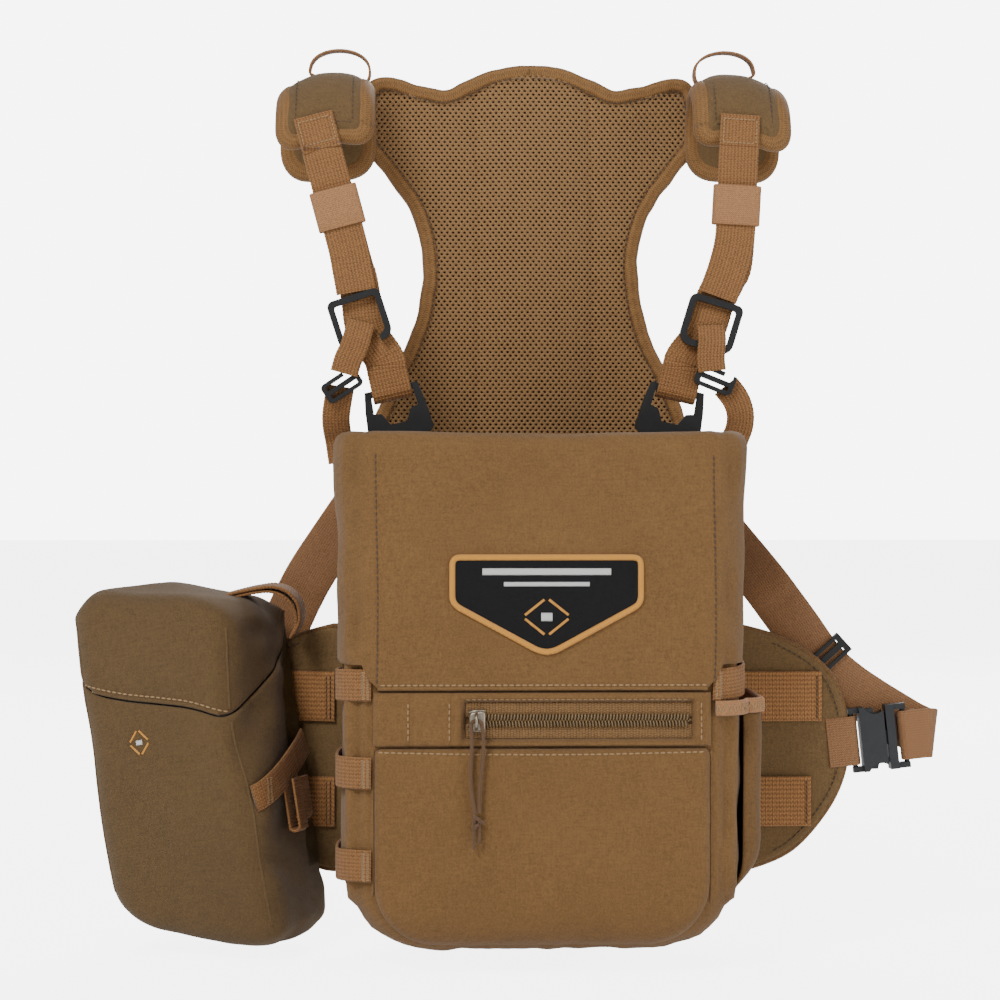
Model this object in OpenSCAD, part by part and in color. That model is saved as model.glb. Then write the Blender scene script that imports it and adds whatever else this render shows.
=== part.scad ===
// Binocular harness pack: a chest pack with a forward-opening lid, a zipped front pocket,
// two folding side wings, a rangefinder pouch, a padded mesh yoke and its webbing.
// Origin: centre of the pack's back face. +X is to the right seen from the front, +Y points
// to the wearer, +Z is up. All lengths are in millimetres.

/* [Pack] */
// Half of the pack body's width
body_hw = 95; // [90:1:98]
// Depth of the pack body from its back face to its front wall
body_d = 90; // [84:1:92]
// Height of the body's rim above the origin
body_top = 117.5; // [112:0.5:118]
// Depth of the body's floor below the origin
body_low = 124; // [118:1:128]
// Radius of the body's two lower corners, seen from the front
corner_r = 42; // [30:1:48]
// Thickness of the padded back panel
back_t = 7.4; // [6:0.1:8]
// Thickness of the outer fabric shell
shell_t = 2.4; // [2:0.1:3]
// Thickness of the foam liner
liner_t = 4.6; // [3:0.1:6]

/* [Lid] */
// Thickness of the lid's padded wall
lid_t = 2.8; // [2:0.1:3]
// Running gap between the lid and the body
lid_gap = 0.6; // [0.4:0.1:1]
// Height at which the lid's side walls end
lid_side_low = 12; // [10:1:16]

/* [Webbing] */
// Width of the shoulder webbing
shoulder_w = 20; // [18:1:22]
// Width of the belt webbing
belt_w = 25; // [24:1:26]
// Width of the tether webbing
tether_w = 14; // [12:1:15]
// Thickness of all webbing
web_t = 1.6; // [1.2:0.1:1.8]

/* [Pouch] */
// Width of the pouch
pouch_w = 90; // [80:1:94]
// Depth of the pouch
pouch_d = 66; // [56:1:68]
// Height of the pouch
pouch_h = 172; // [150:1:176]
// Backward angle of the left wing that carries the pouch
wing_yaw = 20.4; // [0:0.1:24]
// Lean of the pouch in the plane of its wing
pouch_roll = 9.5; // [0:0.5:12]

/* [Yoke] */
// Distance from the pack's back face to the yoke's mesh face
yoke_y = 42; // [40:1:60]
// Thickness of the yoke's foam
yoke_foam_t = 5.5; // [4:0.5:8]

/* [Hidden] */

brown = "#8a6844";
dark_brown = "#6f5336";
web_brown = "#a87650";
black = "#202022";
arc_n = 8; // steps in a rounded corner
tiny = 0.01;

body_front = -body_d;
inner_t = shell_t + liner_t;
lid_hw = body_hw + lid_gap + lid_t;
lid_front = body_front - lid_gap - lid_t - 0.4;
lid_top = body_top + 0.6 + lid_t;
lid_back = -back_t - lid_gap;
panel_hw = 79; // half width of the flat front between its side seams
zip_low = -26; // height of the seam under the zip
pocket_t = 6;

wing_x = 91; // the wings' hinge line
wing_t = 5;
buckle_at = [176, 3.6, -32];
strap_y = 13; // how far back the belt strap runs behind the wing

pouch_at = [-68.6, -36.4, -41]; // centre of the pouch in the left wing's own frame
pouch_seam = 36; // height of the pouch lid's hinge above the pouch's centre
pouch_wall = 2.4;

crest = [21, 279, 25]; // centre y, centre z and radius of the shoulder pad's curl
pad_t = 7;
pad_x = [82.4, 129]; // inner and outer edge of a shoulder pad

// ---- helpers -------------------------------------------------------------------------

function unit(v) = v / norm(v);
function arc(c, r, a0, a1, n = arc_n) =
    [for (i = [0:n]) c + r * [cos(a0 + (a1 - a0) * i / n), sin(a0 + (a1 - a0) * i / n)]];

// Rectangle [x0, x1] by [y0, y1] whose lower corners have radius r0 and upper corners r1.
function round_rect(x0, x1, y0, y1, r0, r1) = concat(
    arc([x0 + r0, y0 + r0], r0, 180, 270), arc([x1 - r0, y0 + r0], r0, 270, 360),
    arc([x1 - r1, y1 - r1], r1, 0, 90), arc([x0 + r1, y1 - r1], r1, 90, 180));

module along_y(y0, y1) translate([0, y1, 0]) rotate([90, 0, 0]) linear_extrude(y1 - y0) children();
module along_x(x0, x1) translate([x0, 0, 0]) rotate([90, 0, 90]) linear_extrude(x1 - x0) children();
module block(lo, hi) translate(lo) cube(hi - lo);

// Smooth closed curve through points.
function catmull(a, b, c, d, t) = 0.5 * ((2 * b) + (c - a) * t
    + (2 * a - 5 * b + 4 * c - d) * t * t + (3 * b - a - 3 * c + d) * t * t * t);
function closed_curve(p, n) = let (m = len(p)) [for (i = [0:m - 1]) for (k = [0:n - 1])
    catmull(p[(i + m - 1) % m], p[i], p[(i + 1) % m], p[(i + 2) % m], k / n)];

// The same closed curve moved inwards by d, for points listed clockwise.
function inset(p, d) = let (m = len(p)) [for (i = [0:m - 1])
    let (t = unit(p[(i + 1) % m] - p[(i + m - 1) % m])) p[i] + d * [t[1], -t[0]]];

// Flat webbing of width w and thickness th swept along points p. side is the direction of
// its width, one vector for all points or one for each.
function tangent(p, i) = unit(p[min(i + 1, len(p) - 1)] - p[max(i - 1, 0)]);
function ring(p, i, side, w, th) = let (
    t = tangent(p, i), raw = is_list(side[0]) ? side[i] : side,
    s = unit(raw - t * (raw * t)), n = cross(t, s))
    [p[i] + s * w / 2 + n * th / 2, p[i] - s * w / 2 + n * th / 2,
     p[i] - s * w / 2 - n * th / 2, p[i] + s * w / 2 - n * th / 2];
module ribbon(p, side, w, th = web_t) {
    last = 4 * (len(p) - 1);
    polyhedron(
        points = [for (i = [0:len(p) - 1]) each ring(p, i, side, w, th)],
        faces = concat(
            [[0, 1, 2], [0, 2, 3], [last + 2, last + 1, last], [last + 3, last + 2, last]],
            [for (i = [0:len(p) - 2]) for (k = [0:3]) let (a = 4 * i + k, b = 4 * i + (k + 1) % 4)
                each [[b, a, a + 4], [b, a + 4, b + 4]]]),
        convexity = 6);
}
// Width directions of webbing that lies in a plane facing the viewer and follows points p.
function flat_sides(p) = [for (i = [0:len(p) - 1]) let (t = tangent(p, i)) cross(t, [0, 1, 0])];

// A flat loop of webbing in the XY plane, from x0 round a bar at x1, centred on y.
function loop_path(x0, x1, y, r, n = 8) = let (d = x1 > x0 ? 1 : -1) concat(
    [[x0, y - r, 0]], [for (i = [0:n]) let (a = -90 + 180 * i / n)
        [x1 + d * r * cos(a), y + r * sin(a), 0]], [[x0, y + r, 0]]);

// Places what is drawn for the right wing on either side: s is 1 for right and -1 for left.
module on_wing(s) {
    if (s > 0) children();
    else left_wing_frame() mirror([1, 0, 0]) translate([-wing_x, 0, 0]) children();
}
module left_wing_frame() translate([-wing_x, 0, 0]) rotate([0, 0, -wing_yaw]) children();

// ---- pack body -----------------------------------------------------------------------

// The body's outer form, taken in by t on every side.
module body_form(t, top) {
    intersection() {
        translate([0, 0, -200]) linear_extrude(200 + top)
            polygon(round_rect(-body_hw + t, body_hw - t, body_front + t, -tiny, 20 - t / 2, 8));
        along_y(-200, 10)
            polygon(round_rect(-body_hw + t, body_hw - t, -body_low + t, 200, corner_r - t, 1));
        along_x(-200, 200)
            polygon(round_rect(body_front + t, 20, -body_low + t, 200, 18 - t / 2, 1));
    }
}
module body_shell() difference() {
    body_form(0, body_top);
    body_form(shell_t, 300);
}
seam_y = body_front + 12;
module pack_front_panel() color(brown) intersection() {
    body_shell();
    block([-200, -200, -200], [200, seam_y, 200]);
}
module pack_gusset() color(brown) intersection() {
    body_shell();
    block([-200, seam_y, -200], [200, -back_t, 200]);
}
module pack_back_panel() color(dark_brown) intersection() {
    along_y(-back_t, 0)
        polygon(round_rect(-body_hw + 4, body_hw - 4, -body_low, lid_top, corner_r, 6));
    translate([0, 0, -200]) linear_extrude(400)
        polygon(round_rect(-body_hw, body_hw, body_front, 0, 20, 7));
}
// Two magnet discs lie sealed in the liner's side walls, and two face them in the lid.
magnet_at = [-26, 102]; // depth and height of their centres
magnet_d = 12;
module side_discs(x, t, d) for (s = [-1, 1])
    translate([s * x, magnet_at[0], magnet_at[1]]) rotate([0, 90, 0])
        cylinder(d = d, h = t, center = true, $fn = 48);
liner_magnet_x = body_hw - shell_t - liner_t / 2;
module pack_liner() color("#4a4038") difference() {
    intersection() {
        difference() {
            body_form(shell_t, body_top - 0.5);
            body_form(inner_t, 300);
        }
        block([-200, -200, -200], [200, -back_t, 200]);
    }
    side_discs(liner_magnet_x, 2.4, magnet_d + 0.4);
}
module pack_magnets() color("silver") side_discs(liner_magnet_x, 2, magnet_d);

// Padded panel of the front pocket under the zip.
module front_pocket() color(brown) along_y(body_front - pocket_t, body_front) intersection() {
    polygon(round_rect(-panel_hw, panel_hw, -body_low + 6, 60, corner_r - 8, 2));
    translate([-200, -200]) square([400, 200 + zip_low - 0.4]);
}
zip_x = [-36, 70];
zip_z = [-22.5, -5.5];
zip_mid = -14;
module zip_panel() color(brown) difference() {
    block([-panel_hw, body_front - 3, zip_low], [panel_hw, body_front, -0.8]);
    block([zip_x[0], body_front - 4, zip_z[0]], [zip_x[1], body_front + 1, zip_z[1]]);
}
module zipper_tape() color(dark_brown) for (side = [-1, 1]) {
    low = side < 0 ? zip_z[0] : zip_mid + 0.2;
    high = side < 0 ? zip_mid - 0.2 : zip_z[1];
    block([zip_x[0], body_front - 1.2, low], [zip_x[1], body_front, high]);
}
tooth_pitch = 4.2;
module zipper_coil() color("#8c8070") for (side = [-1, 1])
    for (x = [zip_x[0] + 1.5:tooth_pitch:zip_x[1] - 2])
        translate([x + (side > 0 ? tooth_pitch / 2 : 0), body_front - 2.2, zip_mid + side * 1.35])
            cube([1.6, 2, 2.4], center = true);
slider_x = -31;
slider_y = body_front - 3.4;
bail_y = slider_y - 4;
module zipper_slider() color("silver") difference() {
    union() {
        block([slider_x - 4.5, slider_y - 1.8, zip_mid - 5], [slider_x + 4.5, slider_y, zip_mid + 5]);
        for (s = [-1, 1]) translate([slider_x, slider_y + 0.9, zip_mid + s * 4.4])
            cube([9, 2, 1], center = true);
        block([slider_x - 0.8, slider_y - 6, zip_mid - 2.6], [slider_x + 0.8, slider_y - 1, zip_mid + 2.6]);
    }
    translate([slider_x - 5, bail_y, zip_mid]) rotate([0, 90, 0]) cylinder(r = 1.4, h = 10, $fn = 32);
}
cord_r = 0.9;
pull_len = 44;
module rod(a, b, r) translate(a) {
    d = b - a;
    rotate([0, acos(d[2] / norm(d)), atan2(d[1], d[0])]) cylinder(r = r, h = norm(d), $fn = 16);
}
module zipper_pull() color(dark_brown) {
    top = [slider_x, bail_y, zip_mid];
    knot = top + [0, -1.8, -pull_len];
    rod(top - [2.6, 0, 0], top + [2.6, 0, 0], cord_r);
    for (s = [-1, 1]) {
        translate(top + [s * 2.6, 0, 0]) sphere(r = cord_r, $fn = 16);
        rod(top + [s * 2.6, 0, 0], knot + [s * 1.2, 0, 0], cord_r);
    }
    translate(knot + [0, -0.6, -2]) sphere(r = 3.1, $fn = 24);
    rod(knot - [0, 0, 2], knot - [0, 0, 14], cord_r);
}

// ---- side pocket and loops -----------------------------------------------------------

pocket_x = body_hw + 11;
pocket_top = -12;
module pocket_plan(t) translate([0, 0, -116]) linear_extrude(300)
    polygon(round_rect(body_hw - 30, pocket_x - t, -78 + t, -9 - t, 14 - t / 2, 14 - t / 2));
module side_pocket() color(brown) intersection() {
    difference() {
        pocket_plan(0);
        pocket_plan(1.8);
    }
    block([body_hw + tiny, -90, -114], [200, 0, pocket_top]);
    along_y(-200, 10) polygon(round_rect(-200, pocket_x, -114, 100, 34, 1));
}
module side_pocket_binding() color(web_brown) intersection() {
    difference() {
        pocket_plan(-1.2);
        pocket_plan(2.4);
    }
    block([body_hw + tiny, -90, pocket_top + 0.1], [200, 0, pocket_top + 7]);
}
loop_h = 15;
loop_z = [2.5, -38.7, -82];
module loop_band(z) intersection() {
    difference() {
        translate([0, 0, z - loop_h / 2]) linear_extrude(loop_h)
            polygon(round_rect(-body_hw - 2.2, body_hw + 2.2, body_front - 2.2, 5, 22, 8));
        translate([0, 0, z - loop_h]) linear_extrude(2 * loop_h)
            polygon(round_rect(-body_hw - 0.2, body_hw + 0.2, body_front - 0.2, 5, 20.1, 8));
    }
    children();
}
module side_loops() color(web_brown) {
    for (z = loop_z) loop_band(z) block([-200, -200, -200], [-panel_hw - 0.2, -20, 200]);
    loop_band(loop_z[0]) block([panel_hw + 0.2, -200, -200], [200, -20, 200]);
}

// ---- lid -----------------------------------------------------------------------------

lid_magnet_x = lid_hw - lid_t / 2;
module lid_hood() color(brown) difference() {
    translate([0, 0, 0.4]) linear_extrude(lid_top - 0.4)
        polygon(round_rect(-lid_hw, lid_hw, lid_front, 40, 22, 1));
    translate([0, 0, -1]) linear_extrude(body_top + 1.6) polygon(round_rect(-body_hw - lid_gap,
        body_hw + lid_gap, body_front - lid_gap - 0.4, 60, 20.5, 1));
    block([-200, lid_back, -10], [200, 200, 300]);
    for (s = [0, 1]) mirror([s, 0, 0]) block([panel_hw, -200, -10], [200, 200, lid_side_low]);
    side_discs(lid_magnet_x, 1.6, magnet_d + 0.4);
}
// Five-sided embroidered patch.
patch_x = 1.8;
patch_outline = [[-45.6, 63.4], [45.6, 63.4], [45.6, 40.5], [3, 17], [-3, 17], [-45.6, 40.5]];
module lid_patch() color(black) translate([patch_x, 0, 0])
    along_y(lid_front - 1.8, lid_front) polygon(patch_outline);
module lid_magnets() color("silver") side_discs(lid_magnet_x, 1.2, magnet_d);

// ---- wings, belt and buckles ---------------------------------------------------------

wing_points = [[104, 25], [122, 20], [138, 12], [150, 2], [157, -12], [160, -30], [158, -50],
    [149, -69], [132, -88], [112, -97], [100, -98]];
module wing_plate() along_y(0.4, wing_t) polygon(concat([[wing_x + 0.4, 26]],
    [for (i = [0:len(wing_points) - 2]) for (k = [0:3])
        catmull(wing_points[max(i - 1, 0)], wing_points[i], wing_points[i + 1],
            wing_points[min(i + 2, len(wing_points) - 1)], k / 4)],
    [[wing_x + 0.4, -98]]));
// Two rows of attachment webbing, as [left, right, low, high].
molle = [[101, 146, -23.2, 2.2], [101, 140.5, -76.4, -51]];
module wing_webbing() for (m = molle) block([m[0], 0.4 - web_t, m[2]], [m[1], 0.4, m[3]]);

bar_r = 1.3;
socket_bar = -13.4;
plug_bar = 13.2;
module in_buckle() translate(buckle_at) rotate([0, -6, 0]) children();
module buckle_web() in_buckle()
    ribbon([for (p = loop_path(-26, socket_bar, 0, 2.9)) p + [-0.8, 0, 0]], [0, 0, 1], belt_w);
module buckle_socket() in_buckle() {
    translate([socket_bar, 0, -16.4]) cylinder(r = bar_r, h = 32.8, $fn = 24);
    for (s = [-1, 1]) {
        block([socket_bar - 1.3, -2.2, s > 0 ? 13.6 : -16.4], [-8, 2.2, s > 0 ? 16.4 : -13.6]);
        block([-3, -2.7, s * 7.2 - 1], [3, 2.7, s * 7.2 + 1]);
        difference() {
            block([-9.5, s > 0 ? 2.6 : -4.2, -16.4], [3, s > 0 ? 4.2 : -2.6, 16.4]);
            for (e = [-1, 1]) translate([-1, 0, e * 19]) rotate([90, 0, 0])
                cylinder(r = 6.4, h = 20, center = true, $fn = 40);
        }
    }
    block([-9.5, -3, -16.4], [-8, 3, 16.4]);
}
module buckle_plug() in_buckle() {
    block([4, -4.2, -16.4], [8.4, 4.2, 16.4]);
    block([-6.5, -1.9, -3.6], [4.2, 1.9, 3.6]);
    for (s = [-1, 1])
        block([8, -2.6, s > 0 ? 13.6 : -16.4], [plug_bar + 1.3, 2.6, s > 0 ? 16.4 : -13.6]);
    translate([plug_bar, 0, -16.4]) cylinder(r = bar_r, h = 32.8, $fn = 24);
}
prong_root = [3.6, 11.4];
module prong(s) in_buckle() along_y(-2.1, 2.1) polygon([
    [prong_root[0], s * 13], [prong_root[0], s * 10.2], [-6.6, s * 10.6], [-7.2, s * 13],
    [-5.6, s * 15.4], [-2.4, s * 15.6], [-1.4, s * 13]]);
// From its sewn end the belt runs round the plug's bar, out to the slanting fold and back
// behind the belt strap's end.
fold_at = 24;
fold_slant = 31; // angle of the fold to the plug's bar
fold_back = strap_y - buckle_at[1] + 1.9;
module belt_tail() in_buckle() {
    mid = (fold_back - 2.9) / 2;
    r = (fold_back + 2.9) / 2;
    bar = loop_path(20, plug_bar + 0.8, 0, 2.9);
    fold = [for (a = [-90:15:90]) let (d = 0.7 * r * cos(a))
        [fold_at + d * cos(fold_slant), mid + r * sin(a), -d * sin(fold_slant)]];
    back = [fold_at - 12 * cos(fold_slant), fold_back, 12 * sin(fold_slant)];
    slant = [sin(fold_slant), 0, cos(fold_slant)];
    ribbon(concat([for (i = [len(bar) - 1:-1:0]) bar[i]], fold, [back]),
        concat([for (q = bar) [0, 0, 1]], [for (q = fold) slant], [slant]), belt_w);
}

// Belt strap from just outside the yoke's corner, behind the wing, to the belt's fold. The two
// wings stand at different angles, so each strap's first stretch is its own.
belt_end = [[136, strap_y + 1, 23], [148, strap_y, 6], [160, strap_y, -5],
    [173, strap_y, -14], [186, strap_y, -22], [196, strap_y, -28]];
right_start = [[105.6, 36, 66], [117.6, 22, 49], [127.5, 16, 35]];
left_start = [[116.4, 31, 68], [123, 23, 53], [129.6, 17.6, 38]];
module belt_strap(s) on_wing(s) {
    p = concat(s > 0 ? right_start : left_start, belt_end);
    ribbon(p, flat_sides(p), belt_w, 1.4);
}
glide_at = [148, strap_y, 6];
module triglide(s) on_wing(s) translate(glide_at) rotate([0, 48, 0]) difference() {
    block([-5.5, -2.6, -16], [5.5, 2.6, 16]);
    block([-20, -1.1, -13.2], [20, 1.1, 13.2]);
    for (x = [-1, 1]) block([x * 2.6 - 1.1, -4, -13.2], [x * 2.6 + 1.1, 4, 13.2]);
}

module right_wing() color(dark_brown) wing_plate();
module right_wing_webbing() color(web_brown) wing_webbing();
module right_buckle_web() color(web_brown) buckle_web();
module right_buckle_socket() color(black) buckle_socket();
module right_belt_strap() color(web_brown) belt_strap(1);
module right_triglide() color(black) triglide(1);
module right_buckle_plug() color(black) buckle_plug();
module right_belt_tail() color(web_brown) belt_tail();
module right_prong_upper() color(black) prong(1);
module right_prong_lower() color(black) prong(-1);
module left_wing() color(dark_brown) on_wing(-1) wing_plate();
module left_wing_webbing() color(web_brown) on_wing(-1) wing_webbing();
module left_buckle_web() color(web_brown) on_wing(-1) buckle_web();
module left_buckle_socket() color(black) on_wing(-1) buckle_socket();
module left_belt_strap() color(web_brown) belt_strap(-1);
module left_triglide() color(black) triglide(-1);
module left_buckle_plug() color(black) on_wing(-1) buckle_plug();
module left_belt_tail() color(web_brown) on_wing(-1) belt_tail();
module left_prong_upper() color(black) on_wing(-1) prong(1);
module left_prong_lower() color(black) on_wing(-1) prong(-1);

// ---- pouch ---------------------------------------------------------------------------

module in_pouch() left_wing_frame() translate(pouch_at) rotate([0, -pouch_roll, 0]) children();
phw = pouch_w / 2;
pz = pouch_h / 2;
// The pouch's outer form, taken in by t.
module pouch_form(t, top) intersection() {
    translate([0, 0, -pz - 10]) linear_extrude(pz + 10 + top) polygon(
        round_rect(-phw + t, phw - t, -pouch_d / 2 + t, pouch_d / 2 - t, 14 - t / 2, 5));
    along_y(-100, 100)
        polygon(round_rect(-phw + t, phw - t, -pz + t, pz - t, 20 - t / 2, 12 - t / 2));
    along_x(-100, 100)
        polygon(round_rect(-pouch_d / 2 + t, pouch_d / 2 - t, -pz + t, pz - t,
            10 - t / 2, 10 - t / 2));
}
// The shell's panels meet along its seams: a front, a back, two sides, corners and a bottom.
seam_t = 0.05;
module seam(lo, hi) block(lo, hi + [for (k = [0:2]) lo[k] == hi[k] ? seam_t : 0]);
module pouch_shell() color(brown) in_pouch() difference() {
    front = -pouch_d / 2;
    pouch_form(0, pouch_seam);
    pouch_form(pouch_wall, 300);
    seam([-100, -100, -pz + 14], [100, 100, -pz + 14]);
    seam([-100, front + 14, -100], [100, front + 14, 100]);
    seam([-100, pouch_d / 2 - 6, -100], [100, pouch_d / 2 - 6, 100]);
    for (x = [-phw + 14, phw - 14]) seam([x, -100, -100], [x, front + 14, 100]);
}
module pouch_liner() color("#4a4038") in_pouch() difference() {
    pouch_form(pouch_wall + 0.6, pz - 16);
    pouch_form(pouch_wall + 3.2, 300);
}
module pouch_lid() color(brown) in_pouch() difference() {
    pouch_form(0, 300);
    pouch_form(pouch_wall, 300);
    block([-100, -100, -200], [100, 100, pouch_seam + 0.4]);
    block([-100, pouch_d / 2 - 12, -200], [100, 100, pz - 22]);
    block([-100, pouch_d / 2 - 5, -200], [100, 100, 200]);
}
module pouch_band() color(web_brown) in_pouch() ribbon(
    [[phw + 1, -26, -5], [phw + 1.4, -14, -2.5], [phw + 1.6, 0, 0], [phw + 1.4, 14, 3],
     [phw + 1, 26, 6]],
    [0, -0.22, 1], 20, 1.4);
module pouch_tail_loop() color(web_brown) in_pouch() ribbon([for (a = [0:30:180])
    [phw + 3.6 - 1.2 * cos(a), 2, -28 - 3 * sin(a)]], [0, 1, 0], 18, 1.2);
module pouch_straps() color(web_brown) left_wing_frame() for (x = [-88, -56])
    block([x, -3, -76], [x + 20, -1.4, -2]);
module pouch_pull_loop() color(web_brown) in_pouch() ribbon(
    [[phw - 16, 6, pz + 2.4], [phw - 6, 8, pz + 3.2], [phw + 4, 11, pz + 2.6], [phw + 12, 15, pz - 1],
     [phw + 15, 18, pz - 5]], [-0.25, 1, 0.1], 18, 2.6);

// ---- yoke ----------------------------------------------------------------------------

yoke_half = [[0, 316], [17, 314.5], [31, 309], [44, 303.5], [60, 306], [75, 309], [81.5, 306],
    [82, 291], [81, 276], [72, 261], [61, 241], [55.6, 217], [57, 195], [62, 175], [72, 154],
    [83, 126], [90, 104], [89, 88], [79, 72], [50, 60]];
yoke_outline = closed_curve(concat(yoke_half, [[0, 56]],
    [for (i = [len(yoke_half) - 1:-1:1]) [-yoke_half[i][0], yoke_half[i][1]]]), 3);
bind_w = 6;
module yoke_layer(y0, y1, d) along_y(y0, y1) polygon(inset(yoke_outline, d));
yoke_top_y = yoke_y + 1.6;
yoke_back_y = yoke_top_y + yoke_foam_t;
module yoke_mesh() color(dark_brown) yoke_layer(yoke_y, yoke_top_y, bind_w / 2);
module yoke_foam() color("#4a4038") yoke_layer(yoke_top_y, yoke_back_y, bind_w / 2);
module yoke_back() color(brown) yoke_layer(yoke_back_y, yoke_back_y + 1.6, bind_w / 2);
module yoke_binding() color(web_brown) difference() {
    yoke_layer(yoke_y - 0.6, yoke_back_y + 2.2, 0);
    yoke_layer(yoke_y - 2, yoke_back_y + 4, bind_w / 2);
}
// Webbing sewn to the yoke's lower corners, cut short of the belt straps so the wings can fold.
anchor_path = [[67.4, 53.4, 120], [80.9, 53.4, 101], [91.5, 53.2, 86], [97, 50.4, 78]];
module belt_anchors() color(web_brown) for (s = [1, -1]) {
    p = [for (q = anchor_path) [s * q[0], q[1], q[2]]];
    ribbon(p, flat_sides(p), belt_w, 1.4);
}

// ---- shoulder pads and straps --------------------------------------------------------

// Side view of a pad: it rises from the chest, curls over the shoulder and drops behind.
module pad_profile(t, front_low, back_low) {
    r = crest[2];
    c = [crest[0], crest[1]];
    polygon(concat(
        [[c[0] - r - t / 2, front_low]], arc(c, r + t / 2, 180, 0, 20),
        [[c[0] + r + t / 2, back_low], [c[0] + r - t / 2, back_low]],
        arc(c, r - t / 2, 0, 180, 20), [[c[0] - r + t / 2, front_low]]));
}
module shoulder_pads() color(brown) for (s = [-1, 1]) mirror([s < 0 ? 1 : 0, 0, 0]) intersection() {
    along_x(pad_x[0] + 4, pad_x[1] - 4) pad_profile(pad_t, 268, 246);
    along_y(-100, 100) polygon(round_rect(pad_x[0], pad_x[1], 243, 400, 20, 1));
}
module pad_bindings() color(web_brown) for (s = [-1, 1]) mirror([s < 0 ? 1 : 0, 0, 0])
    for (x = [[pad_x[0], pad_x[0] + 4], [pad_x[1] - 4, pad_x[1]]])
        along_x(x[0], x[1]) pad_profile(pad_t + 1.4, 272, 262);
lash_x = [80.5, 114];
module lash_loops() color(web_brown) for (s = [-1, 1]) {
    half = (lash_x[1] - lash_x[0]) / 2;
    mid = (lash_x[1] + lash_x[0]) / 2;
    top = crest[1] + crest[2] + pad_t / 2 + 0.9;
    arch = [for (a = [0:15:180]) [s * (mid - half * cos(a)), crest[0], top + 11 * sin(a)]];
    ribbon(arch, [0, 1, 0], 10, 1.5);
}

// Shoulder webbing from the pad, through the tether frame, to the clip on the pack.
clip_at = [69.6, -3.8, 134];
clip_lean = 13;
clip_bar = 10.4; // height of the clip's bar above its centre
function clip_up(s, d) =
    [s * (clip_at[0] + d * sin(clip_lean)), clip_at[1], clip_at[2] + d * cos(clip_lean)];
function bar_turn(s, r) =
    [for (a = [0:30:180]) clip_up(s, clip_bar - r * sin(a)) + [0, -r * cos(a), 0]];
function strap_foot(s) = concat([clip_up(s, 27) - [0, 5, 0], clip_up(s, 20) - [0, 4.6, 0]],
    bar_turn(s, 4.4),
    [clip_up(s, 18) + [0, 3, 0], clip_up(s, 24) - [0, 1.4, 0], clip_up(s, 28) - [0, 3, 0]]);
left_web = [[-111.2, -8.7, 282], [-107, -10, 266], [-105.5, -10, 260], [-92.1, -10, 210],
    [-89, -9.6, 200], [-87.2, -9.2, 190], [-84.6, -9.2, 174]];
right_web = [[103.8, -8.7, 283], [102.9, -10, 268], [102.6, -10, 262], [100, -10, 212],
    [96, -9.6, 200], [91, -9.2, 190], [85.6, -9.2, 174]];
left_tail = [[-101.5, -12.1, 245], [-94.2, -12.1, 218], [-91.4, -12.3, 204], [-89.4, -12.4, 193]];
right_tail = [[101.8, -12.1, 247], [100.5, -12.1, 222], [97, -12.3, 206], [91.6, -12.4, 191]];
// The strap's foot turns round the clip's bar, so it keeps the bar's direction as its width.
module shoulder_strap(s, web, tail) {
    foot = strap_foot(s);
    along_bar = [cos(clip_lean), 0, -s * sin(clip_lean)];
    ribbon(concat(web, foot), concat(flat_sides(web), [for (q = foot) along_bar]), shoulder_w);
    ribbon(tail, flat_sides(tail), shoulder_w);
}
module left_shoulder_strap() color(web_brown) shoulder_strap(-1, left_web, left_tail);
module right_shoulder_strap() color(web_brown) shoulder_strap(1, right_web, right_tail);
// Elastic keeper round the strap and its tail, leaning by angle a.
keeper_h = 20;
module keeper(at, a) translate(at) rotate([0, a, 0]) difference() {
    cube([24.4, 6.4, keeper_h], center = true);
    cube([21.4, 4.4, keeper_h + 2], center = true);
}
left_keeper_at = [-98.8, -11.05, 235];
right_keeper_at = [101.3, -11.05, 237];
module left_keeper() color("#b98a6a") keeper(left_keeper_at, -15);
module right_keeper() color("#b98a6a") keeper(right_keeper_at, 3);

// Split-bar frame in front of the strap: the lower bar has a gap for the tether.
module tether_frame(at, a) translate(at) rotate([0, a, 0]) difference() {
    along_y(-3.3, 0) polygon(round_rect(-13.8, 13.8, -13, 13, 6, 3.5));
    along_y(-4, 1) polygon(round_rect(-10.6, 10.6, -9.8, 9.8, 3.4, 1.4));
    block([-3, -4, -14], [tether_w / 2, 1, -9]);
}
module tether_frames() color(black) {
    tether_frame([-87.6, -10.9, 179], -18);
    tether_frame([88.2, -10.9, 177], 17);
}
left_tether = [[-87, -12.4, 178], [-88.6, -15, 171.5], [-90.6, -15.1, 165], [-93.4, -15.1, 159],
    [-95.4, -15, 152]];
left_tether_low = [[-97.4, -9.4, 146], [-98.8, -9, 138], [-99.8, -6, 131], [-99.6, -2, 125],
    [-98.6, 2.6, 119], [-97, 3.4, 108]];
right_tether = [[88.4, -12.4, 176.5], [88.6, -15, 169.5], [88.2, -15.1, 164], [88, -15.1, 159],
    [88.6, -15, 153.5]];
right_tether_low = [[96, -9.4, 146.5], [101, -9, 140], [103.8, -6.4, 133], [104, -2, 126],
    [102, 2.6, 119], [99, 3.4, 108]];
module tether_straps() color(web_brown)
    for (p = [left_tether, left_tether_low, right_tether, right_tether_low])
        ribbon(p, flat_sides(p), tether_w, 1.2);
module tether_adjuster(at, turn) translate(at) rotate(turn) difference() {
    along_y(-1.7, 1.7) polygon(round_rect(-10, 10, -5.4, 5.4, 2.5, 2.5));
    for (s = [-1, 1]) translate([0, 0, s * 2.3]) cube([15, 5, 2.1], center = true);
    translate([6, 0, 4]) cube([5, 5, 4], center = true);
}
module tether_adjusters() color(black) {
    tether_adjuster([-96.6, -12, 146.4], [0, -34, 0]);
    tether_adjuster([90.4, -12, 149.4], [0, 22, 0]);
}
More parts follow.
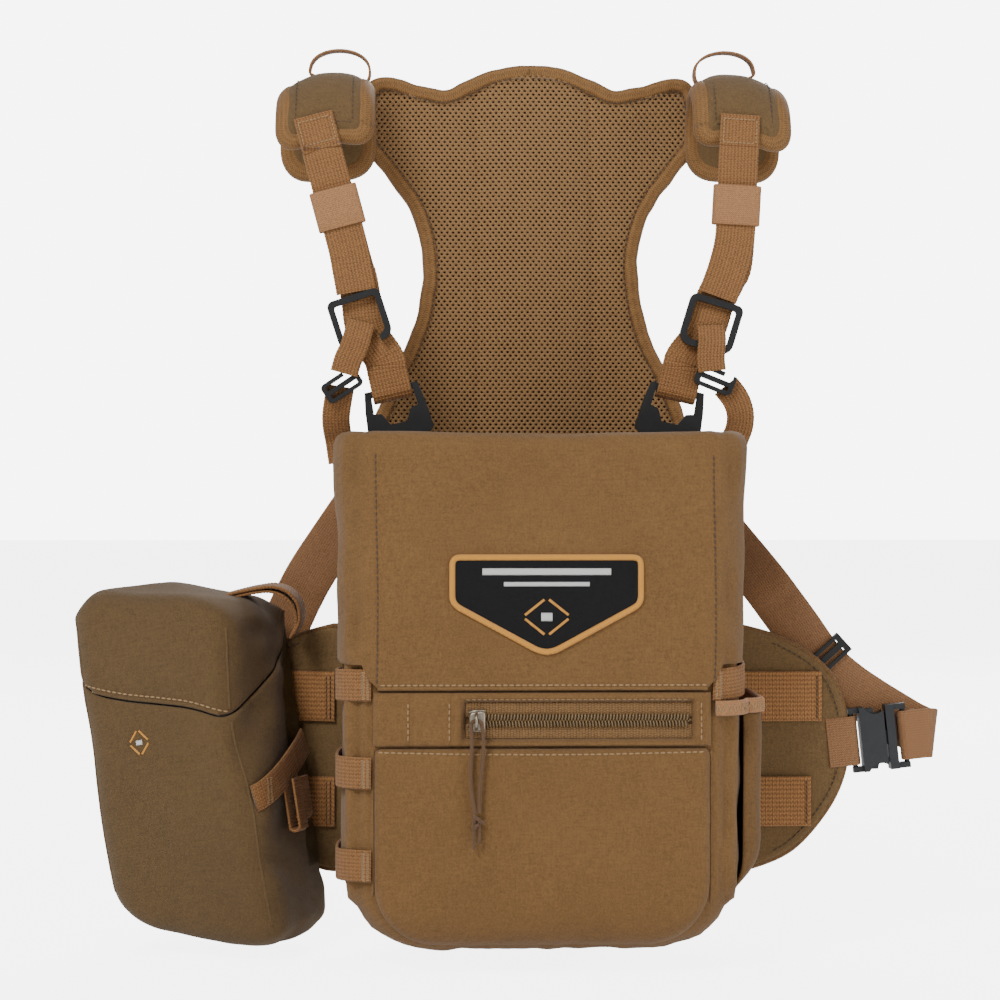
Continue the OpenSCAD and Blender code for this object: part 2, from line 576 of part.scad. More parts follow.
// Clips that join the shoulder webbing to the top of the back panel.
module top_clip(s) translate(clip_up(s, 0)) rotate([0, s * clip_lean, 0]) difference() {
    intersection() {
        along_y(-3, 3)
            polygon([[-17, -14], [17, -14], [15.4, 2], [13.6, 12], [-13.6, 12], [-15.4, 2]]);
        along_y(-4, 4) polygon(round_rect(-17, 17, -14, 12, 4, 3));
    }
    along_y(-4, 4) polygon([[-10.8, 8.8], [10.8, 8.8], [11.4, 0.6], [7.4, -0.4], [4.2, -6.4],
        [-4.2, -6.4], [-7.4, -0.4], [-11.4, 0.6]]);
}
module top_clips() color(black) difference() {
    for (s = [-1, 1]) top_clip(s);
    block([-200, -50, 0], [200, 50, lid_top + 0.4]);
}

// ---- nodes ---------------------------------------------------------------------------

pack_front_panel();
pack_gusset();
pack_back_panel();
pack_liner();
front_pocket();
zip_panel();
zipper_tape();
zipper_coil();
side_pocket();
side_pocket_binding();
side_loops();
pack_magnets();
lid_hood();
lid_patch();
lid_magnets();
zipper_slider();
zipper_pull();
right_wing();
right_wing_webbing();
right_buckle_web();
right_buckle_socket();
right_belt_strap();
right_triglide();
right_buckle_plug();
right_belt_tail();
right_prong_upper();
right_prong_lower();
left_wing();
left_wing_webbing();
left_buckle_web();
left_buckle_socket();
left_belt_strap();
left_triglide();
left_buckle_plug();
left_belt_tail();
left_prong_upper();
left_prong_lower();
pouch_shell();
pouch_liner();
pouch_band();
pouch_tail_loop();
pouch_straps();
pouch_lid();
pouch_pull_loop();
yoke_mesh();
yoke_foam();
yoke_back();
yoke_binding();
belt_anchors();
shoulder_pads();
pad_bindings();
lash_loops();
left_shoulder_strap();
right_shoulder_strap();
left_keeper();
right_keeper();
tether_frames();
tether_straps();
tether_adjusters();
top_clips();
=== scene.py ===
"""A binocular harness pack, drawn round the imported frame.

The camera, the lights and the floor are placed in metres. All other lengths are in millimetres in
the frame's own coordinates (+X right seen from the front, +Y to the wearer, +Z up) until piece()
turns them into metres.
"""
import math

import bpy
import bmesh
from mathutils import Matrix, Vector, geometry, noise
from mathutils.bvhtree import BVHTree


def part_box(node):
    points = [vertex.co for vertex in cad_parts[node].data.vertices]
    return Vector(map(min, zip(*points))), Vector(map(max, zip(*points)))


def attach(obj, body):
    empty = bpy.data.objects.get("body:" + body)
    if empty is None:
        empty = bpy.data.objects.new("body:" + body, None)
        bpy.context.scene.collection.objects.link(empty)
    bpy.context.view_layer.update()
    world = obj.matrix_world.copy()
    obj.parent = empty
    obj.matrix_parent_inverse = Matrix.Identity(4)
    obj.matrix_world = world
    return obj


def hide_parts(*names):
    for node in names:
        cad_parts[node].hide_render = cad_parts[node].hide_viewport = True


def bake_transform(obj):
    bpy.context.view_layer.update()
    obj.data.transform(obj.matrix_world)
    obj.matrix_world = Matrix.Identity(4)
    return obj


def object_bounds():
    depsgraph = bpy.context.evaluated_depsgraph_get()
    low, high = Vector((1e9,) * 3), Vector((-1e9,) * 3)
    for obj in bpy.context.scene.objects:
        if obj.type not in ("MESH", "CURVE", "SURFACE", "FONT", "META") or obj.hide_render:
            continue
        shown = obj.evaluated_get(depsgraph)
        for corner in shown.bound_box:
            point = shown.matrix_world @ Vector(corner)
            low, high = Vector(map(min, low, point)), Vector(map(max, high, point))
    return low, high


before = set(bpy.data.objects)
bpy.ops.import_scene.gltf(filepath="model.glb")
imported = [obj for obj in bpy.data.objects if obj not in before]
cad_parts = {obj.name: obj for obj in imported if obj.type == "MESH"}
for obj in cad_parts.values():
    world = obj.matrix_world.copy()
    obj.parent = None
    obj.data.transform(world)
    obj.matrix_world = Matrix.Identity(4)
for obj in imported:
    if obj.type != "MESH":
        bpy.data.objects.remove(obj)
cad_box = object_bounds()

MM = 0.001


def box(node):
    """A CAD node's lowest and highest corner, in millimetres."""
    low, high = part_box(node)
    return Vector(low) / MM, Vector(high) / MM


# ---- camera, light and floor ---------------------------------------------------------------

CAMERA_AT = (-0.052, -1.195, 0.089)
CAMERA_AIM = (-0.020, -0.095, 0.089)
LENS = 85.1
# For each light: its name, its place, what it aims at, its diameter and its power.
LIGHTS = (("key_light", (-0.9, -1.5, 1.5), (0, 0, 0.05), 0.8, 30),
          ("fill_light", (1.5, -1.3, 0.4), (0, 0, 0.05), 1.2, 10),
          ("back_light", (0.4, 1.6, 1.2), (0, 0, 0.1), 1.0, 24))
# Strengths on the object, and as the camera sees them.
SURROUND_LIGHT, SURROUND_SEEN = 0.40, 7.0
FLOOR_LIGHT, FLOOR_SEEN = 0.12, 5.0
FLOOR_REACH, FLOOR_GAP = 12, 0.004


def look_at(obj, place, aim):
    obj.location = place
    obj.rotation_euler = (Vector(aim) - Vector(place)).to_track_quat("-Z", "Y").to_euler()


def add_camera():
    camera = bpy.data.objects.new("camera", bpy.data.cameras.new("camera"))
    camera.data.lens = LENS
    camera.data.clip_end = 20
    look_at(camera, CAMERA_AT, CAMERA_AIM)
    bpy.context.scene.collection.objects.link(camera)
    bpy.context.scene.camera = camera


def add_area_light(name, place, aim, size, power):
    lamp = bpy.data.lights.new(name, "AREA")
    lamp.shape = "DISK"
    lamp.size = size
    lamp.energy = power
    obj = bpy.data.objects.new(name, lamp)
    look_at(obj, place, aim)
    bpy.context.scene.collection.objects.link(obj)


def seen_strength(tree, light, seen):
    """A strength that is one number as light on the object and another as the camera sees it."""
    strength = tree.nodes.new("ShaderNodeMapRange")
    strength.inputs["To Min"].default_value = light
    strength.inputs["To Max"].default_value = seen
    is_seen = tree.nodes.new("ShaderNodeLightPath").outputs["Is Camera Ray"]
    tree.links.new(is_seen, strength.inputs["Value"])
    return strength.outputs[0]


def add_studio():
    """Soft light from the front left, and a white surround that lights the object only dimly."""
    for light in LIGHTS:
        add_area_light(*light)
    world = bpy.data.worlds.new("studio")
    world.use_nodes = True
    background = world.node_tree.nodes["Background"]
    background.inputs["Color"].default_value = (1, 1, 1, 1)
    strength = seen_strength(world.node_tree, SURROUND_LIGHT, SURROUND_SEEN)
    world.node_tree.links.new(strength, background.inputs["Strength"])
    bpy.context.scene.world = world


def add_floor():
    """A pale floor that reaches far past the view."""
    low = cad_box[0][2] - FLOOR_GAP
    corners = [(x * FLOOR_REACH, y * FLOOR_REACH, low) for x, y in ((-1, -1), (1, -1), (1, 1), (-1, 1))]
    mesh = bpy.data.meshes.new("floor")
    mesh.from_pydata(corners, [], [(0, 1, 2, 3)])
    paper = bpy.data.materials.new("paper")
    paper.use_nodes = True
    shader = paper.node_tree.nodes["Principled BSDF"]
    shader.inputs["Base Color"].default_value = (0.97, 0.97, 0.97, 1)
    shader.inputs["Roughness"].default_value = 0.95
    shader.inputs["Emission Color"].default_value = (1, 1, 1, 1)
    strength = seen_strength(paper.node_tree, FLOOR_LIGHT, FLOOR_SEEN)
    paper.node_tree.links.new(strength, shader.inputs["Emission Strength"])
    mesh.materials.append(paper)
    floor = bpy.data.objects.new("floor", mesh)
    bpy.context.scene.collection.objects.link(floor)


# ---- materials -----------------------------------------------------------------------------

class Shade:
    """A material under construction. Each method adds nodes and returns an output socket."""

    def __init__(self, name):
        self.material = bpy.data.materials.new(name)
        self.material.use_nodes = True
        self.nodes = self.material.node_tree.nodes
        self.links = self.material.node_tree.links
        self.shader = self.nodes["Principled BSDF"]

    def put(self, kind, inputs=(), **settings):
        node = self.nodes.new(kind)
        for key, value in settings.items():
            setattr(node, key, value)
        for key, value in dict(inputs).items():
            if isinstance(value, bpy.types.NodeSocket):
                self.links.new(value, node.inputs[key])
            else:
                node.inputs[key].default_value = value
        return node

    def math(self, operation, a, b=0.0):
        return self.put("ShaderNodeMath", {0: a, 1: b}, operation=operation).outputs[0]

    def in_mm(self, metres):
        return self.put("ShaderNodeVectorMath", {0: metres, "Scale": 1 / MM},
                        operation="SCALE").outputs[0]

    def place(self):
        """The object's own coordinates, in millimetres."""
        return self.in_mm(self.put("ShaderNodeTexCoord").outputs["Object"])

    def strap_place(self):
        """Along and across a strap, in millimetres."""
        return self.in_mm(self.put("ShaderNodeUVMap", uv_map="strap").outputs["UV"])

    def split(self, vector):
        return self.put("ShaderNodeSeparateXYZ", {0: vector}).outputs

    def noise(self, vector, per_mm, detail=2.0, roughness=0.5):
        return self.put("ShaderNodeTexNoise", {"Vector": vector, "Scale": per_mm, "Detail": detail,
                                               "Roughness": roughness}).outputs["Fac"]

    def wave(self, value, pitch):
        """A sine of the value with this pitch, from -1 to 1."""
        return self.math("SINE", self.math("MULTIPLY", value, 2 * math.pi / pitch))

    def remap(self, value, low, high, to_low, to_high):
        return self.put("ShaderNodeMapRange", {"Value": value, "From Min": low, "From Max": high,
                                               "To Min": to_low, "To Max": to_high}).outputs[0]

    def mix(self, factor, a, b):
        node = self.put("ShaderNodeMix", data_type="RGBA")
        for key, value in ((0, factor), (6, a), (7, b)):
            if isinstance(value, bpy.types.NodeSocket):
                self.links.new(value, node.inputs[key])
            else:
                node.inputs[key].default_value = value if key == 0 else (*value, 1)
        return node.outputs[2]

    def worn(self, colour, light, strength):
        """The colour, lighter along the edges that rub."""
        edge = self.put("ShaderNodeNewGeometry").outputs["Pointiness"]
        return self.mix(self.remap(edge, 0.5, 0.62, 0, strength), colour, light)

    def finish(self, colour, roughness, height, depth_mm, **fixed):
        bump = self.put("ShaderNodeBump", {"Height": height, "Distance": depth_mm * MM,
                                           "Strength": 1.0})
        wanted = {"Base Color": colour, "Roughness": roughness, "Normal": bump.outputs[0]}
        for key, value in wanted.items():
            self.links.new(value, self.shader.inputs[key])
        names = {"sheen_weight": "Sheen Weight", "sheen_roughness": "Sheen Roughness",
                 "specular": "Specular IOR Level", "metallic": "Metallic"}
        for key, value in fixed.items():
            self.shader.inputs[names[key]].default_value = value
        return self.material


def tint(colour, factor):
    return tuple(min(1.0, c * factor) for c in colour)


SLUB_STRETCH = 0.16


def woven(name, colour, pitch=0.9, depth=0.12, sheen=0.15):
    """Plain-woven nylon with slubby threads both ways, clouds of colour, painted shade in the weave's
    hollows and rubbed edges.
    """
    s = Shade(name)
    p = s.place()
    x, y, z = s.split(p)[:3]
    across = s.math("ADD", x, y)
    up = s.math("ADD", z, s.math("MULTIPLY", y, 0.5))
    weave = s.math("MULTIPLY", s.wave(across, pitch), s.wave(up, pitch))

    def slubs(u, v):
        return s.noise(s.put("ShaderNodeCombineXYZ", {0: u, 1: v}).outputs[0], 0.9, 3.0, 0.7)

    weft = slubs(s.math("MULTIPLY", across, SLUB_STRETCH), up)
    warp = slubs(across, s.math("MULTIPLY", up, SLUB_STRETCH))
    slub = s.math("ADD", weft, warp)
    grain = s.noise(p, 1.25, 3.0, 0.7)
    clouds = s.noise(p, 0.022, 3.0, 0.6)
    height = s.math("ADD", s.math("ADD", s.math("MULTIPLY", weave, 0.4), slub), grain)
    base = s.mix(s.remap(clouds, 0.3, 0.7, 0, 1), tint(colour, 0.86), tint(colour, 1.10))
    base = s.mix(s.remap(slub, 0.78, 1.18, 0.7, 0), base, tint(colour, 0.6))
    base = s.mix(s.remap(grain, 0.40, 0.64, 0, 0.5), base, tint(colour, 1.6))
    # Painted shade: the colour darkens where the weave's height is lowest.
    base = s.mix(s.remap(weave, -1, 1, 0.25, 0), base, tint(colour, 0.6))
    base = s.worn(base, tint(colour, 1.5), 0.3)
    rough = s.remap(grain, 0.2, 0.8, 0.78, 0.96)
    return s.finish(base, rough, height, depth, sheen_weight=sheen, sheen_roughness=0.5, specular=0.2)


def webbing(name, colour, row=0.85, column=1.7, depth=0.16):
    """Ribbed nylon webbing: rows across the strap, with staggered columns of warp, painted lighter on
    their ridges and painted shade in their grooves.
    """
    s = Shade(name)
    along, across = s.split(s.strap_place())[:2]
    rows = s.wave(along, row * 2)
    columns = s.wave(s.math("ADD", across, s.math("MULTIPLY", rows, 0.22)), column)
    grain = s.noise(s.place(), 1.2, 3.0)
    height = s.math("ADD", s.math("MULTIPLY", s.math("ABSOLUTE", rows), 0.6),
                    s.math("MULTIPLY", columns, 0.35))
    # Painted highlight and shade: the columns are lighter where they stand high and darker where low,
    # and the grooves between the rows are darker.
    base = s.mix(s.remap(columns, -1, 1, 0, 0.8), tint(colour, 0.5), tint(colour, 1.35))
    base = s.mix(s.remap(s.math("ABSOLUTE", rows), 0, 0.9, 0.85, 0), base, tint(colour, 0.34))
    base = s.mix(s.remap(grain, 0.35, 0.7, 0, 0.45), base, tint(colour, 1.5))
    return s.finish(base, s.remap(grain, 0.2, 0.8, 0.62, 0.85), height, depth, sheen_weight=0.2,
                    sheen_roughness=0.4, specular=0.35)


def moulded(name, colour, roughness=0.42):
    """Moulded nylon plastic with a fine grain and edges that have rubbed paler."""
    s = Shade(name)
    p = s.place()
    grain = s.noise(p, 2.4, 4.0, 0.7)
    smears = s.noise(p, 0.15, 2.0)
    base = s.mix(s.remap(smears, 0.3, 0.7, 0, 1), tint(colour, 0.8), tint(colour, 1.3))
    base = s.worn(base, tint(colour, 3.5), 0.22)
    rough = s.math("ADD", s.remap(grain, 0, 1, -0.08, 0.10),
                   s.remap(smears, 0, 1, roughness, roughness + 0.1))
    return s.finish(base, rough, grain, 0.05, specular=0.5)


def metal(name, colour, roughness=0.3):
    """Plated metal with fine scratches."""
    s = Shade(name)
    p = s.place()
    scratches = s.noise(p, 3.0, 4.0, 0.7)
    base = s.mix(s.remap(scratches, 0.3, 0.7, 0, 1), tint(colour, 0.7), tint(colour, 1.1))
    rough = s.remap(scratches, 0, 1, roughness - 0.08, roughness + 0.22)
    return s.finish(base, rough, scratches, 0.03, metallic=1.0)


def thread(name, colour):
    """Twisted sewing thread or cord, and the knitted yarn of the mesh, with a painted highlight on the
    twist's ridges and painted shade in its grooves.
    """
    s = Shade(name)
    p = s.place()
    x, y, z = s.split(p)[:3]
    twist = s.wave(s.math("ADD", s.math("ADD", x, y), z), 0.9)
    fuzz = s.noise(p, 2.2, 3.0)
    # Painted highlight and shade: lighter on the twist's ridges, darker in its grooves.
    base = s.mix(s.remap(twist, -1, 1, 0, 1), tint(colour, 0.72), tint(colour, 1.2))
    base = s.mix(s.remap(fuzz, 0.4, 0.7, 0, 0.3), base, tint(colour, 0.6))
    return s.finish(base, s.remap(fuzz, 0, 1, 0.55, 0.8), twist, 0.08, sheen_weight=0.2)


def lining(name, colour, gloss):
    """Thin coated cloth with soft creases, painted shade in their hollows and painted light on their
    crests.
    """
    s = Shade(name)
    p = s.place()
    creases = s.noise(p, 0.07, 4.0, 0.65)
    fine = s.noise(p, 1.1, 2.0)
    # Painted shade and light: darker in the creases' hollows and lighter on their crests, following the
    # bump.
    base = s.mix(s.remap(creases, 0.3, 0.7, 0, 1), tint(colour, 0.7), tint(colour, 1.25))
    height = s.math("ADD", s.math("MULTIPLY", creases, 6.0), fine)
    return s.finish(base, s.remap(creases, 0.2, 0.8, gloss, gloss + 0.25), height, 0.25,
                    specular=0.5)


BROWN = (0.196, 0.104, 0.037)
POUCH_BROWN = (0.128, 0.077, 0.032)
STRAP_BROWN = (0.300, 0.138, 0.046)
KEEPER_TAN = (0.440, 0.214, 0.092)
BINDING_BROWN = (0.270, 0.134, 0.042)
MESH_BROWN = (0.330, 0.176, 0.060)

cloth = woven("coyote_cloth", BROWN)
pouch_cloth = woven("pouch_cloth", POUCH_BROWN, pitch=0.8)
pad_cloth = woven("pad_cloth", tint(POUCH_BROWN, 1.2))
wing_cloth = woven("wing_cloth", tint(POUCH_BROWN, 1.4), pitch=0.8)
stretch_cloth = woven("stretch_cloth", tint(BROWN, 0.8), pitch=0.6, depth=0.06)
strap_cloth = webbing("strap_webbing", STRAP_BROWN)
belt_cloth = webbing("belt_webbing", tint(KEEPER_TAN, 0.72), row=0.6, column=1.2, depth=0.08)
molle_cloth = webbing("molle_webbing", tint(STRAP_BROWN, 1.25), row=0.9, column=2.2, depth=0.2)
binding_cloth = webbing("edge_binding", BINDING_BROWN, row=0.6, column=0.9, depth=0.10)
keeper_cloth = webbing("keeper_elastic", KEEPER_TAN, row=0.5, column=1.0, depth=0.06)
mesh_cloth = thread("spacer_mesh", MESH_BROWN)
backing_cloth = woven("mesh_backing", tint(MESH_BROWN, 0.22), pitch=0.7)
tape_cloth = webbing("zip_tape", tint(BROWN, 1.15), row=1.4, column=1.1, depth=0.12)
black_plastic = moulded("black_plastic", (0.0055, 0.0055, 0.0062), 0.36)
grey_plastic = moulded("grey_plastic", (0.013, 0.014, 0.016), 0.36)
coil_plastic = moulded("coil_plastic", (0.125, 0.078, 0.034), 0.22)
nickel = metal("nickel", (0.42, 0.36, 0.28), 0.34)
magnet_metal = metal("magnet_metal", (0.5, 0.5, 0.5))
pale_thread = thread("pale_thread", (0.44, 0.27, 0.12))
dark_thread = thread("dark_thread", (0.085, 0.045, 0.018))
cord_thread = thread("pull_cord", (0.14, 0.066, 0.022))
gold_thread = thread("gold_thread", (0.82, 0.36, 0.045))
white_thread = thread("white_thread", (0.80, 0.80, 0.78))
patch_cloth = woven("patch_twill", (0.010, 0.010, 0.011), pitch=0.8, depth=0.14, sheen=0.1)
foam_lining = lining("foam_lining", (0.055, 0.038, 0.022), 0.65)
glossy_lining = lining("glossy_lining", (0.060, 0.043, 0.017), 0.42)


# ---- mesh helpers --------------------------------------------------------------------------

class Build:
    """Vertices, faces and strap coordinates gathered into one mesh."""

    def __init__(self):
        self.verts, self.faces, self.uvs = [], [], []

    def add(self, verts, faces, uvs=None):
        start = len(self.verts)
        self.verts += [Vector(v) for v in verts]
        self.faces += [tuple(start + i for i in f) for f in faces]
        self.uvs += list(uvs) if uvs else [(0, 0)] * len(verts)
        return self


def piece(name, build, material, body, replaces=(), at=None, shape=None):
    """Makes one object from a Build, riding on a body, with outward normals and smooth faces.

    shape(point, normal) says how far each point moves along its normal, before at places it.
    """
    at = at or Matrix()
    mesh = bpy.data.meshes.new(name)
    mesh.from_pydata(build.verts, [], build.faces)
    layer = mesh.uv_layers.new(name="strap")
    for loop in mesh.loops:
        u, v = build.uvs[loop.vertex_index]
        layer.data[loop.index].uv = (u * MM, v * MM)
    work = bmesh.new()
    work.from_mesh(mesh)
    bmesh.ops.recalc_face_normals(work, faces=work.faces)
    if shape:
        work.normal_update()
        moves = [v.normal * shape(v.co, v.normal) for v in work.verts]
        for v, move in zip(work.verts, moves):
            v.co += move
    work.transform(Matrix.Scale(MM, 4) @ at)
    if at.determinant() < 0:
        bmesh.ops.reverse_faces(work, faces=work.faces)
    work.to_mesh(mesh)
    work.free()
    mesh.polygons.foreach_set("use_smooth", [True] * len(mesh.polygons))
    mesh.materials.append(material)
    obj = bpy.data.objects.new(name, mesh)
    bpy.context.scene.collection.objects.link(obj)
    if body:
        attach(obj, body)
    if replaces:
        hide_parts(*replaces)
    return obj


def thicken(obj, thickness):
    """Gives a skin this thickness, inwards."""
    modifier = obj.modifiers.new("thickness", "SOLIDIFY")
    modifier.thickness = thickness * MM
    modifier.offset = -1
    modifier.use_even_offset = False
    return obj


def refine(obj):
    modifier = obj.modifiers.new("smooth", "SUBSURF")
    modifier.levels = modifier.render_levels = 1
    return obj


def soften(node, material, width=0.35):
    """A CAD node kept as it is, with rubbed edges and a material."""
    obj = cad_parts[node]
    obj.data.materials.clear()
    obj.data.materials.append(material)
    for slot in obj.material_slots:
        slot.material = material
    modifier = obj.modifiers.new("rounded_edges", "BEVEL")
    modifier.width = width * MM
    modifier.segments = 2
    modifier.limit_method = "ANGLE"
    modifier.angle_limit = math.radians(35)
    modifier.harden_normals = False
    return obj


def lerp(a, b, t):
    return a + (b - a) * t


def smoothstep(low, high, x):
    t = min(1.0, max(0.0, (x - low) / (high - low)))
    return t * t * (3 - 2 * t)


def ripple(p, size, seed=0.0):
    """Smooth noise from about -1 to 1 with features of this size in millimetres."""
    return noise.noise(Vector(p) / size + Vector((seed, seed * 1.7, seed * 2.3)))


def spline(points, step, closed=False):
    """Points about one step apart on a smooth curve through the given points."""
    pts = [Vector(p) for p in points]
    n = len(pts)
    out = []
    for i in range(n if closed else n - 1):
        if closed:
            a, b, c, d = (pts[(i + k - 1) % n] for k in range(4))
        else:
            a, b, c, d = (pts[min(max(i + k - 1, 0), n - 1)] for k in range(4))
        count = max(1, round((c - b).length / step))
        for k in range(count):
            t = k / count
            out.append(0.5 * (2 * b + (c - a) * t + (2 * a - 5 * b + 4 * c - d) * t * t
                              + (3 * b - a - 3 * c + d) * t ** 3))
    if not closed:
        out.append(pts[-1])
    return out


def tangents(points, closed=False):
    n = len(points)
    if closed:
        return [(points[(i + 1) % n] - points[i - 1]).normalized() for i in range(n)]
    return [(points[min(i + 1, n - 1)] - points[max(i - 1, 0)]).normalized() for i in range(n)]


def ring_faces(n, m, closed=False, caps=True):
    """Faces that join n rings of m points, in a closed round or as a run with a cap at each end."""
    faces = []
    for i in range(n if closed else n - 1):
        j = (i + 1) % n
        for k in range(m):
            q = (k + 1) % m
            faces.append((i * m + k, i * m + q, j * m + q, j * m + k))
    if caps and not closed:
        faces += [tuple(range(m)), tuple((n - 1) * m + k for k in range(m))]
    return faces


def tube(build, points, radius, sides=8, closed=False):
    """A round tube along the points. radius is one number or a function of the share of length."""
    points = [Vector(p) for p in points]
    n = len(points)
    side = None
    rings = []
    for i, t in enumerate(tangents(points, closed)):
        if side is None:
            side = t.orthogonal().normalized()
        side = (side - t * side.dot(t)).normalized()
        other = t.cross(side)
        r = radius(i / (n - 1)) if callable(radius) else radius
        rings.append([points[i] + side * (r * math.cos(a)) + other * (r * math.sin(a))
                      for a in (2 * math.pi * k / sides for k in range(sides))])
    return build.add([v for ring in rings for v in ring], ring_faces(n, sides, closed))


def stitch(build, a, b, radius):
    """One stitch: a short thread, thickest in the middle, from a to b."""
    a, b = Vector(a), Vector(b)
    middle = (a + b) / 2
    tube(build, [a, (a + middle) / 2, middle, (b + middle) / 2, b],
         lambda t: radius * (0.45 + 0.55 * math.sin(math.pi * t)), 6)


def stitches(build, points, pitch=3.0, gap=0.75, radius=0.42):
    """A row of stitches along a line of closely spaced points."""
    points = [Vector(p) for p in points]
    lengths = [0.0]
    for p, q in zip(points, points[1:]):
        lengths.append(lengths[-1] + (q - p).length)

    def at(s):
        i = max(k for k in range(len(points)) if lengths[k] <= s + 1e-6)
        i = min(i, len(points) - 2)
        span = lengths[i + 1] - lengths[i]
        return points[i].lerp(points[i + 1], (s - lengths[i]) / span if span else 0)

    for k in range(int(lengths[-1] / pitch)):
        stitch(build, at(k * pitch + gap / 2), at((k + 1) * pitch - gap / 2), radius)


def strap(build, points, side, width, thickness, row, rib, closed=False):
    """Ribbed webbing along the points. side is its width direction, one or one for each point."""
    points = [Vector(p) for p in points]
    sides = [Vector(s) for s in side] if isinstance(side[0], (list, tuple, Vector)) \
        else [Vector(side)] * len(points)
    dense, dense_sides = spline(points, row / 4, closed), []
    n = len(points)
    for i in range(n if closed else n - 1):
        count = max(1, round((points[(i + 1) % n] - points[i]).length / (row / 4)))
        dense_sides += [sides[i].lerp(sides[(i + 1) % n], k / count) for k in range(count)]
    if not closed:
        dense_sides.append(sides[-1])
    half, edge = width / 2, thickness / 2
    outline = [(half - edge, edge), (half - edge * 0.3, edge * 0.7), (half, 0),
               (half - edge * 0.3, -edge * 0.7), (half - edge, -edge), (half / 3, -edge),
               (-half / 3, -edge), (-half + edge, -edge), (-half + edge * 0.3, -edge * 0.7),
               (-half, 0), (-half + edge * 0.3, edge * 0.7), (-half + edge, edge),
               (-half / 3, edge), (half / 3, edge)]
    m = len(outline)
    verts, uvs, length = [], [], 0.0
    for i, (p, t) in enumerate(zip(dense, tangents(dense, closed))):
        if i:
            length += (p - dense[i - 1]).length
        s = dense_sides[i] - t * dense_sides[i].dot(t)
        s.normalize()
        up = t.cross(s)
        swell = rib * math.sin(2 * math.pi * length / row)
        for a, b in outline:
            verts.append(p + s * (a + swell * 0.6 * a / half) + up * (b + swell * b / edge))
            uvs.append((length, a))
    return build.add(verts, ring_faces(len(dense), m, closed), uvs)


def facing_sides(points):
    """Width directions of a strap that lies facing the front."""
    return [Vector((-t.z, 0, t.x)).normalized() for t in tangents([Vector(p) for p in points])]


def arc(cx, cy, radius, start, end, steps):
    """Points of an arc, with its angles in degrees."""
    return [(cx + radius * math.cos(math.radians(lerp(start, end, i / steps))),
             cy + radius * math.sin(math.radians(lerp(start, end, i / steps))))
            for i in range(steps + 1)]


def resample(points, count, closed=True):
    """The same line with count evenly spaced 2D points."""
    pts = [Vector(p) for p in points]
    if closed:
        pts.append(pts[0])
    lengths = [0.0]
    for p, q in zip(pts, pts[1:]):
        lengths.append(lengths[-1] + (q - p).length)
    out, k = [], 0
    for i in range(count):
        s = lengths[-1] * i / (count if closed else count - 1)
        while k < len(pts) - 2 and lengths[k + 1] < s:
            k += 1
        span = lengths[k + 1] - lengths[k] or 1
        out.append(pts[k].lerp(pts[k + 1], (s - lengths[k]) / span))
    return out


def edge_distance(p, outline):
    """How far a 2D point is from a closed outline."""
    best = 1e9
    for a, b in zip(outline, outline[1:] + outline[:1]):
        share = min(1.0, max(0.0, geometry.intersect_point_line(p, a, b)[1]))
        best = min(best, (a.lerp(b, share) - p).length)
    return best


def inside(p, outline):
    """Whether a 2D point is inside a closed outline."""
    hit = False
    for a, b in zip(outline, outline[1:] + outline[:1]):
        if (a.y > p.y) != (b.y > p.y) and p.x < a.x + (p.y - a.y) * (b.x - a.x) / (b.y - a.y):
            hit = not hit
    return hit


def plate(build, outline, spacing, place, thickness, roundness=1.0):
    """A padded plate over a closed 2D outline.

    place(x, z, offset) gives the point at (x, z), raised by offset from the plate's middle.
    thickness(x, z) is its thickness, which falls to nothing over roundness millimetres of edge.
    """
    outline = [Vector(p) for p in outline]
    xs, zs = [p.x for p in outline], [p.y for p in outline]
    points = list(outline)
    near = [lerp(0.12, 0.5, k) * roundness for k in (0, 1)]
    distances = [0.0] * len(points)
    count = len(outline)
    for depth in near + [roundness]:
        for i in range(count):
            t = (outline[(i + 1) % count] - outline[i - 1]).normalized()
            for normal in (Vector((-t.y, t.x)), Vector((t.y, -t.x))):
                q = outline[i] + normal * depth
                if inside(q, outline) and edge_distance(q, outline) > depth * 0.9:
                    points.append(q)
                    distances.append(depth)
    rows = int((max(zs) - min(zs)) / spacing)
    for r in range(1, rows):
        z = min(zs) + r * spacing
        for c in range(1, int((max(xs) - min(xs)) / spacing)):
            q = Vector((min(xs) + (c + 0.5 * (r % 2)) * spacing, z))
            if inside(q, outline):
                d = edge_distance(q, outline)
                if d > roundness + spacing * 0.5:
                    points.append(q)
                    distances.append(d)
    edges = [(i, (i + 1) % count) for i in range(count)]
    flat, _, faces, *_ = geometry.delaunay_2d_cdt(points, edges, [list(range(count))], 1, 1e-4)
    depth_of = {}
    for p, d in zip(points, distances):
        depth_of[(round(p.x, 3), round(p.y, 3))] = d
    front, back = [], []
    for q in flat:
        d = depth_of.get((round(q.x, 3), round(q.y, 3)))
        if d is None:
            d = edge_distance(q, outline)
        share = min(1.0, d / roundness)
        half = thickness(q.x, q.y) / 2 * math.sqrt(max(0.0, 1 - (1 - share) ** 2))
        front.append(place(q.x, q.y, half))
        back.append(place(q.x, q.y, -half))
    n = len(flat)
    on_edge = [depth_of.get((round(q.x, 3), round(q.y, 3)), 1) == 0 for q in flat]
    verts = front + back
    other = [i if on_edge[i] else n + i for i in range(n)]
    faces = [tuple(f) for f in faces]
    return build.add(verts, faces + [tuple(other[i] for i in reversed(f)) for f in faces])


